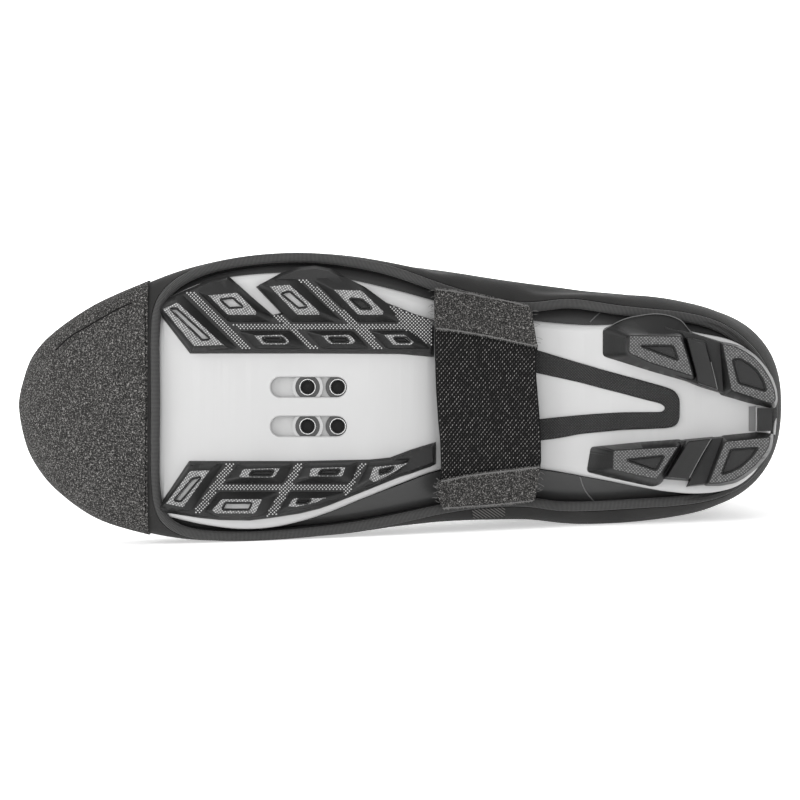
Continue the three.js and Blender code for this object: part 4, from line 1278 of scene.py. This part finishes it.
LUG_CORNER = 0.9
CHAMFER = 0.35
RIM_WIDTH = 0.55
RIM_DEPTH = 0.45
RIM_LEAN = 0.12
SUNKEN = 2.0
PAD_BASE = 2.4
PAD_BATTER = 1.2


def softened(outline, radius, steps=4):
    """The outline with rounded corners."""
    found = []
    for before, corner, after in zip(np.roll(outline, 1, axis=0), outline, np.roll(outline, -1, axis=0)):
        ends = []
        for other in (before, after):
            run = np.linalg.norm(other - corner)
            ends.append(corner + (other - corner) / run * min(radius, run / 2.2))
        for t in np.linspace(0, 1, steps + 1):
            found.append((1 - t) ** 2 * ends[0] + 2 * t * (1 - t) * corner + t * t * ends[1])
    return np.array(found)


def dense(outline, step=2.0):
    """The outline with further points along its edges."""
    found = []
    for start, end in zip(outline, np.roll(outline, -1, axis=0)):
        count = max(1, math.ceil(np.linalg.norm(end - start) / step))
        found += [start + (end - start) * k / count for k in range(count)]
    return np.array(found)


def read_at(outline, middle, turns):
    """The outline's points that lie in the given directions from a middle."""
    start = outline - middle
    edge = np.roll(outline, -1, axis=0) - outline
    found = []
    for turn in turns:
        aim = np.array((math.cos(turn), math.sin(turn)))
        side = aim[0] * edge[:, 1] - aim[1] * edge[:, 0]
        side = np.where(np.abs(side) < 1e-9, 1e-9, side)
        away = (start[:, 0] * edge[:, 1] - start[:, 1] * edge[:, 0]) / side
        share = (start[:, 0] * aim[1] - start[:, 1] * aim[0]) / side
        fits = (share > -1e-6) & (share < 1 + 1e-6) & (away > 0)
        found.append(middle + aim * away[fits].max())
    return np.array(found)


def matched(outlines):
    """Outlines read in the same directions, so that faces can be laid between them."""
    middle = outlines[-1].mean(axis=0)
    corners = np.concatenate([outline - middle for outline in outlines])
    turns = list(np.arctan2(corners[:, 1], corners[:, 0])) + list(np.linspace(-math.pi, math.pi, 48)[:-1])
    kept_turns = []
    for turn in sorted(turns):
        if not kept_turns or turn - kept_turns[-1] > 0.006:
            kept_turns.append(turn)
    return [read_at(outline, middle, kept_turns) for outline in outlines]


def raised(outline, height):
    """Points in space over an outline in plan, at a height that follows the length."""
    return np.column_stack((outline[:, 0], height(outline[:, 0]), outline[:, 1]))


def lug(foot, face, recess, root, crown, depth=SUNKEN, shoulder=None):
    """A moulded lug: sloping walls, a chamfer, and a sunken middle with a fine groove round it."""
    rows = [(foot, lambda x: root(x) + 0.4), (foot, root)]
    if shoulder:
        rows.append(shoulder)
    rows.append((face, lambda x: crown(x) + CHAMFER))
    rows.append((grown(face, -CHAMFER), crown))
    if recess is not None:
        rim = grown(recess, RIM_WIDTH)
        rows += [
            (rim, crown), (grown(rim, -RIM_LEAN), lambda x: crown(x) + RIM_DEPTH),
            (grown(recess, RIM_LEAN), lambda x: crown(x) + RIM_DEPTH), (recess, lambda x: crown(x) + RIM_LEAN),
            (grown(recess, -0.1), lambda x: crown(x) + 0.2), (grown(recess, -0.3), lambda x: crown(x) + depth),
        ]
    rings = matched([outline for outline, _ in rows])
    return loft("lug", [raised(ring, height) for ring, (_, height) in zip(rings, rows)])


def stack(rows):
    """A closed solid over outlines of equal point counts, each at its own height."""
    rings = [raised(outline, height) for outline, height in rows]
    count = len(rings[0])
    verts = np.concatenate(rings)
    last = (len(rings) - 1) * count
    faces = loft_faces(len(rings), count) + [tuple(range(count)), tuple(range(last, last + count))]
    return working_solid("stack", verts, faces)


def under_plate(x):
    return sole_height(x) - GAP


def slab(outline, top, thickness, batter, steps=140):
    """A layer under the sole plate whose sides slope inwards."""
    outline = dense(outline)
    inner = grown(outline, -batter)
    bottom = lambda x: under_plate(x) - thickness
    rows = [(outline, lambda x: top(x) + 5), (outline, lambda x: under_plate(x) - 0.3), (inner, bottom)]
    rows.append((inner, lambda x: bottom(x) - 5))
    return cut(stack(rows), "INTERSECT", band(bottom, top, steps))


def inside(outline, points):
    """Which points in plan lie inside an outline."""
    ax, az = outline[:, 0], outline[:, 1]
    bx, bz = np.roll(ax, -1), np.roll(az, -1)
    x, z = points[:, 0][:, None], points[:, 1][:, None]
    spans = (az > z) != (bz > z)
    crossing = ax + (z - az) * (bx - ax) / np.where(bz == az, 1e-9, bz - az)
    return (spans & (x < crossing)).sum(axis=1) % 2 == 1


def studs(name, outlines, pitch, level, height, paint, spread=0.46, degrees=45):
    """Small moulded points on a slanted lattice inside outlines in plan."""
    span = np.concatenate(outlines)
    middle = (span.min(axis=0) + span.max(axis=0)) / 2
    reach = int(np.linalg.norm(span.max(axis=0) - span.min(axis=0)) / 2 / pitch) + 1
    row, column = np.mgrid[-reach:reach + 1, -reach:reach + 1]
    turn = math.radians(degrees)
    x = (row * math.cos(turn) - column * math.sin(turn)) * pitch + middle[0]
    z = (row * math.sin(turn) + column * math.cos(turn)) * pitch + middle[1]
    points = np.column_stack((x.ravel(), z.ravel()))
    within = np.zeros(len(points), bool)
    for outline in outlines:
        within |= inside(outline, points)
    verts, faces, peaks = [], [], []
    half = pitch * spread
    for px, pz in points[within]:
        here = len(verts)
        for k in range(4):
            corner = turn + math.pi / 4 + k * math.pi / 2
            cx, cz = px + half * 2 ** 0.5 * math.cos(corner), pz + half * 2 ** 0.5 * math.sin(corner)
            verts.append((cx, float(level(cx)) + 0.08, cz))
        verts.append((px, float(level(px)) - height, pz))
        faces += [(here + k, here + (k + 1) % 4, here + 4) for k in range(4)]
        faces.append((here + 3, here + 2, here + 1, here))
        # The tip gets 1 in the peak attribute, where the stud paint puts its painted highlight
        peaks += [0.0] * 4 + [1.0]
    mesh = bpy.data.meshes.new(name)
    mesh.from_pydata(verts, [], faces)
    mesh.attributes.new("peak", "FLOAT", "POINT").data.foreach_set("value", peaks)
    return piece(name, mesh, [paint], slot="rubber", flat=True)


def painted(body, name, node, rules, paints, slot="rubber"):
    """The body taken over as a piece, with each face given the first paint whose rule fits it."""
    def choose(centre, normal):
        centre = np.array(centre)
        return next((index for index, rule in rules if rule(centre, normal)), 0)

    return kept(body, name, paints, node=node, slot=slot, choose=choose)


def lug_crown(x):
    return sole_height(x) - LUG_DEPTH


def make_forefoot_pad(side, outline, lugs, channels, ceiling):
    body = slab(outline, plate_top, PAD_BASE, PAD_BATTER)
    root = lambda x: under_plate(x) - PAD_BASE
    floors = []
    for foot, face, recess, silver in lugs:
        foot, face, recess = seen(foot), softened(seen(face), LUG_CORNER), softened(seen(recess), 0.5)
        cut(body, "UNION", lug(softened(foot, 1.2), face, recess, root, lug_crown))
        if silver:
            floors.append(grown(recess, -0.2))
    cut(body, "DIFFERENCE", *ceiling)

    # Faces turned down to the sole's underside take the lighter face paint: painted light on the lug faces
    def on_face(centre, normal):
        return normal.y < -0.8 and centre[1] < lug_crown(centre[0]) + 0.25

    def on_floor(centre, normal):
        if normal.y > -0.8 or abs(centre[1] - lug_crown(centre[0]) - SUNKEN) > 0.4:
            return False
        return any(inside(floor, centre[None, [0, 2]])[0] for floor in floors)

    node = "forefoot_pad_" + side
    painted(body, "forefoot_rubber_" + side, node, [(1, on_face), (2, on_floor)], [RUBBER, LIT_LUG_FACE, SILVER])
    studs("knurled_channels_" + side, [seen(c) for c in channels], KNURL_PITCH, root, KNURL_HEIGHT, KNURL)


KNURL_PITCH = 0.9
KNURL_HEIGHT = 0.5


def pad_ceiling():
    """What bounds a forefoot pad from above: plate, cover and tape."""
    shadow = prism(grown(spline(in_plan(PLATE), 164, True), GAP))
    over = cut(shadow, "INTERSECT", band(under_plate, lambda x: sole_height(x) + 50))
    return [over, form(COVER_WALL), tape_room()]


# Heel: outlines of the two pads, then their tall lugs and steps
def heel_outline(side):
    return seen({
        "lateral": [
            (664, 326), (690, 332), (722, 342), (745, 353), (756, 366), (760, 385), (758, 403), (720, 393),
            (700, 387), (680, 379), (664, 372),
        ],
        "medial": [
            (644, 446), (680, 440), (720, 436.5), (757, 434), (762, 444), (756, 459), (743, 472), (727, 481.5),
            (703, 485), (686, 487), (689, 479.5), (662, 478), (650, 472),
        ],
    }[side], HEEL_LEVEL)


HEEL_LUGS = {
    "lateral": [
        ([(603, 329), (622, 320), (648, 314.5), (668, 315), (680, 320), (690, 331), (699, 385), (650, 371),
          (603, 356)],
         [(629, 335), (681, 336), (686, 350), (694, 377), (650, 363), (628, 353)],
         [(641, 346), (673, 346), (678, 360)]),
        ([(718, 341), (735, 344), (748, 349.5), (757.5, 357), (766, 367), (773, 378), (777, 390),
          (778, 401), (775, 409), (750, 403.5), (719, 394.5)],
         [(722, 343), (735, 346), (745, 351), (755, 358), (763, 367), (770, 378), (775, 390), (776, 400),
          (772, 404.5), (750, 397), (731, 391)],
         [(733, 360), (740, 359), (750, 365), (757, 371), (763, 381), (766, 391), (739, 383)]),
    ],
    "medial": [
        ([(591, 447), (640, 442), (681, 439), (684, 446), (661, 484), (653, 487), (611, 478), (587, 472)],
         [(613, 450), (679, 446), (657, 480), (612, 470)],
         [(627, 460), (664, 456), (656, 470)]),
        ([(721, 435.5), (757, 432), (774, 433.5), (772, 448), (767, 457), (758.5, 467), (746, 477),
          (735.5, 483), (720, 486), (703, 486)],
         [(725, 441), (771, 436.5), (769, 447), (764, 455), (756, 465), (745, 474), (735, 480), (720, 483.5),
          (708, 484)],
         [(731, 450), (758, 448), (750, 458), (741, 466), (732, 471), (722, 474)]),
    ],
}
HEEL_STEPS = {
    "lateral": ([(683, 336), (706, 340), (719, 392), (697, 385)],
                [(685, 338), (704, 341.5), (717, 389.5), (697, 383)]),
    "medial": ([(683, 439.5), (714, 436.5), (690, 481), (661, 479)],
               [(687, 441), (711, 438.5), (689, 478.5), (665, 476.5)]),
}
HEEL_BASE = 4
HEEL_STEP_LEVEL = LUG_DEPTH / 2
HEEL_SUNKEN = 1.2
HEEL_SPLIT = 240
SHOULDER_WIDTH = 1.0
SHOULDER_LEVEL = 6.5


def make_heel_pad(side):
    body = slab(heel_outline(side), under_plate, HEEL_BASE, 0.5)
    ground = lambda x: np.zeros_like(x)
    for foot, face, recess in HEEL_LUGS[side]:
        foot, face = softened(seen(foot, HEEL_LEVEL), 1.2), softened(seen(face, 0), LUG_CORNER)
        recess = softened(seen(recess, 0), 0.7)
        ledge = (grown(face, SHOULDER_WIDTH), lambda x: np.full_like(x, SHOULDER_LEVEL))
        shoulder = ledge if side == "lateral" and foot[:, 0].min() < HEEL_SPLIT else None
        cut(body, "UNION", lug(foot, face, recess, under_plate, ground, HEEL_SUNKEN, shoulder))
    foot, face = (softened(seen(row, HEEL_LEVEL), 0.8) for row in HEEL_STEPS[side])
    step_level = lambda x: np.full_like(x, HEEL_STEP_LEVEL)
    cut(body, "UNION", lug(foot, face, None, under_plate, step_level))
    if side == "lateral":
        low, high = seen([(757, 431), (771.5, 408)], HEEL_LEVEL)
        end = block((low[0], HEEL_LEVEL - 4.5, low[1]), (high[0], HEEL_LEVEL + 1, high[1]))
        cut(body, "UNION", end)
    cut(body, "INTERSECT", band(lambda x: sole_height(x) - 50, under_plate))

    # Faces at the ground take the lighter face paint: painted light on the heel lug faces
    def on_face(centre, normal):
        return normal.y < -0.8 and centre[1] < 0.2

    painted(body, "heel_rubber_" + side, "heel_pad_" + side, [(1, on_face)], [RUBBER, LIT_HEEL_FACE])


def arch_inlay_outline():
    return seen([
        (529, 347.5), (537, 350), (560, 357), (600, 369), (640, 380), (665, 387), (674, 390.5), (679, 398),
        (679, 419), (675, 426), (667, 428), (620, 430), (600, 432), (580, 434), (560, 438), (541, 440.5),
        (529, 442), (529, 420), (541, 419), (560, 417), (580, 415), (600, 413.5), (620, 412.3), (650, 412),
        (661, 412), (664, 409.5), (664, 406.5), (660, 403.5), (640, 398.5), (620, 393), (600, 388),
        (580, 382.5), (560, 378), (537, 373), (529, 371),
    ], ARCH_LEVEL)


ARCH_LEVEL = LUG_DEPTH + ARCH_RISE - 1
STUD_PITCH = 0.72


def make_inlay():
    outline = softened(arch_inlay_outline(), 1.8, 3)
    body = slab(outline, under_plate, INLAY_THICKNESS - 0.2, 0.35)
    kept(body, "dotted_arch_inlay", [INLAY_GRAIN], node="arch_inlay", slot="rubber")
    level = lambda x: under_plate(x) - INLAY_THICKNESS + 0.2
    studs("inlay_dots", [grown(outline, -0.7)], STUD_PITCH, level, 0.2, INLAY_STUD, 0.46, 45)


# Sole plate with its two cleat slots, and the nut plate behind them
CLEAT_AT = 0.38
CLEAT_ACROSS = -0.8
SLOT_PITCH = 14
SLOT_LENGTH = 27.3
SLOT_WIDTH = 7.2
BOSS_AT = (-0.4, 10.4)
NUT_PLATE = (42, 1.6, 29)
CLEAT_X = CLEAT_AT * LENGTH
SLOT_ROWS = (CLEAT_ACROSS + SLOT_PITCH / 2, CLEAT_ACROSS - SLOT_PITCH / 2)
PLATE_EDGE = ((0, 2.3), (0.25, 1.5), (0.75, 0.8), (1.5, 0.3), (2.4, 0.06), (2.9, 0))
POCKET_FLOOR = float(sole_height(CLEAT_X)) + PLATE_THICKNESS - NUT_PLATE[1] - GAP


def slot_outline(z, extra=0):
    run = (SLOT_LENGTH - SLOT_WIDTH) / 2
    radius = SLOT_WIDTH / 2 + extra
    turns = np.linspace(-math.pi / 2, math.pi / 2, 17)
    right = [(CLEAT_X + run + radius * math.cos(t), z + radius * math.sin(t)) for t in turns]
    left = [(CLEAT_X - run - radius * math.cos(t), z - radius * math.sin(t)) for t in turns]
    return np.array(right + left)


def make_sole_plate():
    outline = spline(in_plan(PLATE), 220, True)
    far = lambda x: sole_height(x) + 30
    rows = [(outline, far)]
    for inset, rise in PLATE_EDGE:
        rows.append((grown(outline, -inset), lambda x, rise=rise: sole_height(x) + rise))
    rows.append((grown(outline, -PLATE_EDGE[-1][0]), lambda x: sole_height(x) - 5))
    body = cut(stack(rows), "INTERSECT", band(sole_height, plate_top, 160))
    room = cut(form(COVER_WALL + GAP), "UNION", behind_tape())
    cut(body, "INTERSECT", room)
    cut(body, "DIFFERENCE", tape_room())
    for z in SLOT_ROWS:
        level = float(sole_height(CLEAT_X))
        rows = [(slot_outline(z, 0.35), lambda x: np.full_like(x, level - 1)),
                (slot_outline(z, 0.35), lambda x: np.full_like(x, level)),
                (slot_outline(z), lambda x: np.full_like(x, level + 0.35)),
                (slot_outline(z), lambda x: np.full_like(x, level + 20))]
        cut(body, "DIFFERENCE", stack(rows))
    half_x, half_z = NUT_PLATE[0] / 2 + GAP, NUT_PLATE[2] / 2 + GAP
    low = (CLEAT_X - half_x, POCKET_FLOOR, CLEAT_ACROSS - half_z)
    cut(body, "DIFFERENCE", block(low, (CLEAT_X + half_x, POCKET_FLOOR + 50, CLEAT_ACROSS + half_z)))
    kept(body, "silver_sole_plate", [SILVER], node="sole_plate", slot="sole_plate")


def turned(name, profile, x, z, slots, steps=48):
    """A ring turned round an upright axis from a closed profile of radius and height."""
    verts, faces, index = [], [], []
    count = len(profile)
    for k in range(steps):
        turn = 2 * math.pi * k / steps
        verts += [(x + r * math.cos(turn), y, z + r * math.sin(turn)) for r, y in profile]
    for k in range(steps):
        for j in range(count):
            n, m = (k + 1) % steps, (j + 1) % count
            faces.append((k * count + j, k * count + m, n * count + m, n * count + j))
            index.append(slots[j])
    return working_solid(name, verts, faces, index)


COLLAR_REACH = 4.4
BOSS_RADIUS = 2.95
BOSS_ROOT = 0.5
BOSS_EDGE = 0.15
THREAD_OUTER = 2.62
THREAD_INNER = 2.42
THREAD_PITCH = 0.45
BORE_RADIUS = 2.4


def collar_ring(x, z, inner, outer, top, bottom):
    return turned("collar", [(inner, top), (inner, bottom), (outer, bottom), (outer, top)], x, z, [0] * 4)


def in_slot(ring, z):
    """The part of a ring that lies within the slot."""
    return cut(ring, "INTERSECT", prism(slot_outline(z, -0.06)))


def make_nut_plate():
    """Pale plate with collars and threaded steel bosses; the threaded bores and the collars are painted near-black
    as painted shade.
    """
    half_x, half_z = NUT_PLATE[0] / 2, NUT_PLATE[2] / 2
    bottom = POCKET_FLOOR + GAP
    top = bottom + NUT_PLATE[1] - GAP / 2
    low = (CLEAT_X - half_x, bottom, CLEAT_ACROSS - half_z)
    body = block(low, (CLEAT_X + half_x, top, CLEAT_ACROSS + half_z))
    face = float(sole_height(CLEAT_X)) + GAP
    parts = []
    for z in SLOT_ROWS:
        for at in BOSS_AT:
            x = CLEAT_X + at
            turns = np.linspace(0, 2 * math.pi, 40)[:-1]
            hole = np.column_stack((x + BORE_RADIUS * np.cos(turns), z + BORE_RADIUS * np.sin(turns)))
            cut(body, "DIFFERENCE", prism(hole))
            thread = []
            pitch = THREAD_PITCH
            height = face + 0.25
            while height < bottom + NUT_PLATE[1] - pitch:
                thread += [(THREAD_OUTER, height), (THREAD_INNER, height + pitch / 2)]
                height += pitch
            profile = [(BOSS_RADIUS, bottom + BOSS_ROOT), (BOSS_RADIUS, face + BOSS_EDGE)]
            profile += [(BOSS_RADIUS - 0.13, face), (THREAD_OUTER + 0.06, face)] + thread
            profile.append((THREAD_OUTER, bottom + BOSS_ROOT))
            # The thread faces take the third paint: painted shade inside the bore
            slots = [1, 1, 1] + [2] * (len(profile) - 3)
            parts.append(turned("boss", profile, x, z, slots))
            collar = collar_ring(x, z, BOSS_RADIUS + 0.02, COLLAR_REACH, bottom + 0.3, bottom - 0.8)
            parts.append(in_slot(collar, z))
        x = CLEAT_X + BOSS_AT[0]
        washer = collar_ring(x, z, COLLAR_REACH, COLLAR_REACH + 1.1, bottom + 0.3, bottom - 1.1)
        parts.append(in_slot(washer, z))
    shape = bmesh.new()
    for part in [body] + parts:
        shape.from_mesh(part.data)
    shape.to_mesh(body.data)
    shape.free()
    discard(*parts)
    mesh = body.data
    bpy.data.objects.remove(body)
    axes = [(CLEAT_X + at, z) for z in SLOT_ROWS for at in BOSS_AT]

    # Bores and collars take the near-black third paint as painted shade
    def choose(centre, normal):
        away = min(math.hypot(centre.x - x, centre.z - z) for x, z in axes)
        if normal.y < -0.9 and abs(centre.y - bottom) < 0.02:
            return 0
        if away < 2.66:
            return 2
        if away < 2.96:
            return 1
        lower = centre.y < bottom - 0.01
        return 2 if lower and away < COLLAR_REACH - 0.02 else 0

    paints = [NUT_PALE, STEEL, BORE_AND_COLLAR_SHADE]
    piece("cleat_nut_plate_steel", mesh, paints, node="cleat_nut_plate", slot="steel", choose=choose)


make_forefoot_pad("lateral", lateral_pad_outline(), LATERAL_LUGS, LATERAL_CHANNELS, pad_ceiling())
make_forefoot_pad("medial", medial_pad_outline(), MEDIAL_LUGS, MEDIAL_CHANNELS, pad_ceiling())
make_heel_pad("lateral")
make_heel_pad("medial")
make_inlay()
make_sole_plate()
make_nut_plate()


# Seams, stitches, frayed yarns and small trims, laid on what carries them, with pale cords as painted highlights on
# heel edges and a grey strip as painted shade on the heel plate
SEAM_LIFT = 0.05


def tube(verts, faces, path, radius, sides=6, taper=False):
    """Adds a closed round tube along an open path."""
    path = np.array(path, float)
    along = np.gradient(path, axis=0)
    along /= np.linalg.norm(along, axis=1)[:, None]
    side = np.cross(along, (0.13, 1, 0.29))
    side /= np.linalg.norm(side, axis=1)[:, None]
    over = np.cross(side, along)
    start = len(verts)
    last = len(path) - 1
    for k, point in enumerate(path):
        wide = radius * (0.35 if k in (0, last) else 1) if taper else radius
        for j in range(sides):
            turn = 2 * math.pi * j / sides
            verts.append(tuple(point + side[k] * wide * math.cos(turn) + over[k] * wide * math.sin(turn)))
    for k in range(last):
        for j in range(sides):
            a, b = start + k * sides + j, start + k * sides + (j + 1) % sides
            faces.append((a, b, b + sides, a + sides))
    faces.append(tuple(start + j for j in range(sides - 1, -1, -1)))
    faces.append(tuple(start + last * sides + j for j in range(sides)))


def cords(name, paths, radius, paint, slot, sides=6, taper=False):
    verts, faces = [], []
    for path in paths:
        tube(verts, faces, path, radius, sides, taper)
    mesh = bpy.data.meshes.new(name)
    mesh.from_pydata(verts, [], faces)
    return piece(name, mesh, [paint], slot=slot, sharp=70)


def laid(tree, pixels, samples, lift):
    """A line over a surface through points read off the photograph."""
    found = [sighted(tree, pixel, lift) for pixel in spline(pixels, samples, False)]
    return np.array([point for point in found if point is not None])


def dashes(path, run, gap):
    """Short runs along a path."""
    steps = np.concatenate(([0], np.cumsum(np.linalg.norm(np.diff(path, axis=0), axis=1))))
    found = []
    at = 0.0
    while at + run < steps[-1]:
        places = np.linspace(at, at + run, 5)
        found.append(np.column_stack([np.interp(places, steps, path[:, k]) for k in range(3)]))
        at += run + gap
    return found


patch_form = form(-PATCH_GAP - PATCH_THICKNESS)
patch_tree = probe_of(patch_form)
cover_form = form(0, True)
cover_tree = probe_of(cover_form)
shoe_form = form(COVER_WALL + GAP)
shoe_tree = probe_of(shoe_form)
discard(patch_form, cover_form, shoe_form)

PATCH_STITCHES = [(145, 304), (145.6, 340), (146, 404), (145.6, 460), (145, 518)]
TOE_SEAM = [
    (56, 350), (60, 346), (70, 337), (80, 330.5), (90, 325), (100, 319), (110, 313.5), (120, 308), (132, 303),
]
LATERAL_SEAM = [(590, 322), (600, 313), (612, 307), (625, 305), (640, 308)]
MEDIAL_SEAM = [
    (580, 477), (585, 490), (592, 499), (600, 506), (612, 513), (622, 516), (640, 517.5), (660, 514), (690, 509),
]
LUG_EDGE_HIGHLIGHT = [(604, 330), (622, 320), (640, 315.5), (660, 314), (680, 320), (690, 331), (698, 337)]
HEEL_RIM_LINE = [(775, 408), (774.5, 420), (773, 434)]
STEP_EDGE_HIGHLIGHTS = [[(711, 362), (714.5, 376), (717.5, 389)], [(711.5, 438.5), (700, 458), (689.5, 477.5)]]
HEEL_STEP_SHADE = [(748.6, 406.5), (756, 406), (756, 431.5), (748.6, 431)]
HEEL_STRIP_LINE = [(756.3, 407), (756.5, 420), (756.3, 431)]


def make_seams():
    stitches = dashes(laid(patch_tree, PATCH_STITCHES, 120, 0.1), 1.5, 0.75)
    cords("toe_patch_stitches", stitches, 0.24, THREAD, "toe_fabric", 6, True)
    cords("toe_seam", [laid(patch_tree, TOE_SEAM, 90, 0.02)], 0.3, THREAD, "toe_fabric")
    seams = [laid(shoe_tree, line, 60, SEAM_LIFT) for line in (LATERAL_SEAM, MEDIAL_SEAM)]
    cords("shoe_upper_seams", seams, 0.22, PALE_TRIM_AND_EDGE_HIGHLIGHT, "shoe_upper")
    foot = raised(seen(spline(LUG_EDGE_HIGHLIGHT, 40, False), HEEL_LEVEL), lambda x: under_plate(x) - 0.35)
    rim = laid(cover_tree, HEEL_RIM_LINE, 20, 0.3)
    on_step = lambda x: np.full_like(x, HEEL_STEP_LEVEL - 0.02)
    steps = [raised(seen(spline(line, 12, False), HEEL_STEP_LEVEL), on_step) for line in STEP_EDGE_HIGHLIGHTS]
    strip_edge = raised(seen(spline(HEEL_STRIP_LINE, 8, False), HEEL_LEVEL), lambda x: under_plate(x) - 0.3)
    # Pale cords along the lug's foot and the steps' edges: painted highlights on those edges
    cords("heel_edge_highlights", [foot] + steps, 0.16, PALE_TRIM_AND_EDGE_HIGHLIGHT, "rubber")
    cords("heel_strip_edge", [strip_edge], 0.25, SILVER, "sole_plate")
    # A thin grey slab on the heel plate: painted shade where the plate's end step has its wall in shade
    kept(slab(seen(HEEL_STEP_SHADE, HEEL_LEVEL), under_plate, 0.15, 0.1), "heel_step_shade", [STEP_SHADE_PAINT], slot="sole_plate")
    cords("heel_rim_line", [rim], 0.5, SILVER, "sole_plate", 10)


def drawn_in(tree, pixel, lift):
    """As sighted, but a pixel just off the shape moves towards the middle until it meets it."""
    point = sighted(tree, pixel, lift)
    while point is None:
        pixel = pixel + (0, math.copysign(0.25, HALF_FRAME - pixel[1]))
        point = sighted(tree, pixel, lift)
    return point


TWILL_CORNERS = [(472, 509), (505, 506.5), (505, 515.5), (473, 517.5)]


def make_side_patch():
    """Small twill reinforcement on the neoprene beside the strap."""
    a, b, c, d = (np.array(corner, float) for corner in TWILL_CORNERS)
    across, down = 24, 10
    layers = []
    for lift in (0.08, 0.5):
        verts = []
        layers.append(verts)
        for j in range(down + 1):
            for i in range(across + 1):
                s, t = i / across, j / down
                pixel = (a * (1 - s) + b * s) * (1 - t) + (d * (1 - s) + c * s) * t
                verts.append(tuple(drawn_in(cover_tree, pixel, lift)))
    mesh = sheet_mesh("twill", *layers, across + 1)
    piece("twill_side_patch", mesh, [TWILL], slot="toe_fabric", sharp=60)


# Worn edges of the two tabs
def tab_point(x, z, lift):
    y, steep = strap_level(x, z)
    near = STRAP_THICKNESS + GAP + TAB_THICKNESS
    return np.array((trimmed(x, z), y - (near + lift) * steep, z))


def tab_edges():
    """The lines along the outer and inner edges of both tabs, a little within them."""
    lines = []
    for column, inwards_by in ((1, -0.5), (2, 0.5), (3, -0.5), (4, 0.5)):
        places = np.linspace(STRAP_ROWS[0, 0] + 0.5, STRAP_ROWS[-1, 0] - 0.5, 160)
        across = [float(np.interp(x, STRAP_ROWS[:, 0], STRAP_ROWS[:, column])) + inwards_by for x in places]
        lines.append(list(zip(places, across)))
    return lines


def make_tab_edging():
    """Overcast threads along the edges of the tabs, and yarns that have worked loose."""
    loops, ends = [], []
    for line in tab_edges():
        for x, z in line:
            lean = random.uniform(-0.35, 0.35)
            reach = random.uniform(0.45, 0.8)
            loops.append([
                tab_point(x - lean, z - reach, 0.02), tab_point(x, z, 0.22), tab_point(x + lean, z + reach, -0.1),
            ])
    front, rear = STRAP_ROWS[0, 0], STRAP_ROWS[-1, 0]
    for x, low, high, count in ((front, 28, 41, 22), (front, -36, -27, 20), (rear, 22, 34, 8), (rear, -34, -24, 8)):
        outward = -1 if x == front else 1
        for _ in range(count):
            z = random.uniform(low, high)
            reach = random.uniform(0.6, 2.4)
            drift = random.uniform(-1.3, 1.3)
            start = tab_point(x, z, -0.4)
            bend = start + (outward * reach * 0.5, random.uniform(-0.4, 0.1), drift * 0.3)
            tip = start + (outward * reach, random.uniform(-0.6, 0.3), drift)
            ends.append(spline([start, bend, tip], 6, False))
    cords("tab_edging", loops, 0.16, PALE_THREAD, "toe_fabric", 5, True)
    cords("frayed_yarns", ends, 0.07, PALE_THREAD, "toe_fabric", 4, True)


make_seams()
make_side_patch()
make_tab_edging()

# The insole is the one CAD solid that stays
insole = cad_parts["insole"]
insole.data.materials.clear()
insole.data.materials.append(FOAM)
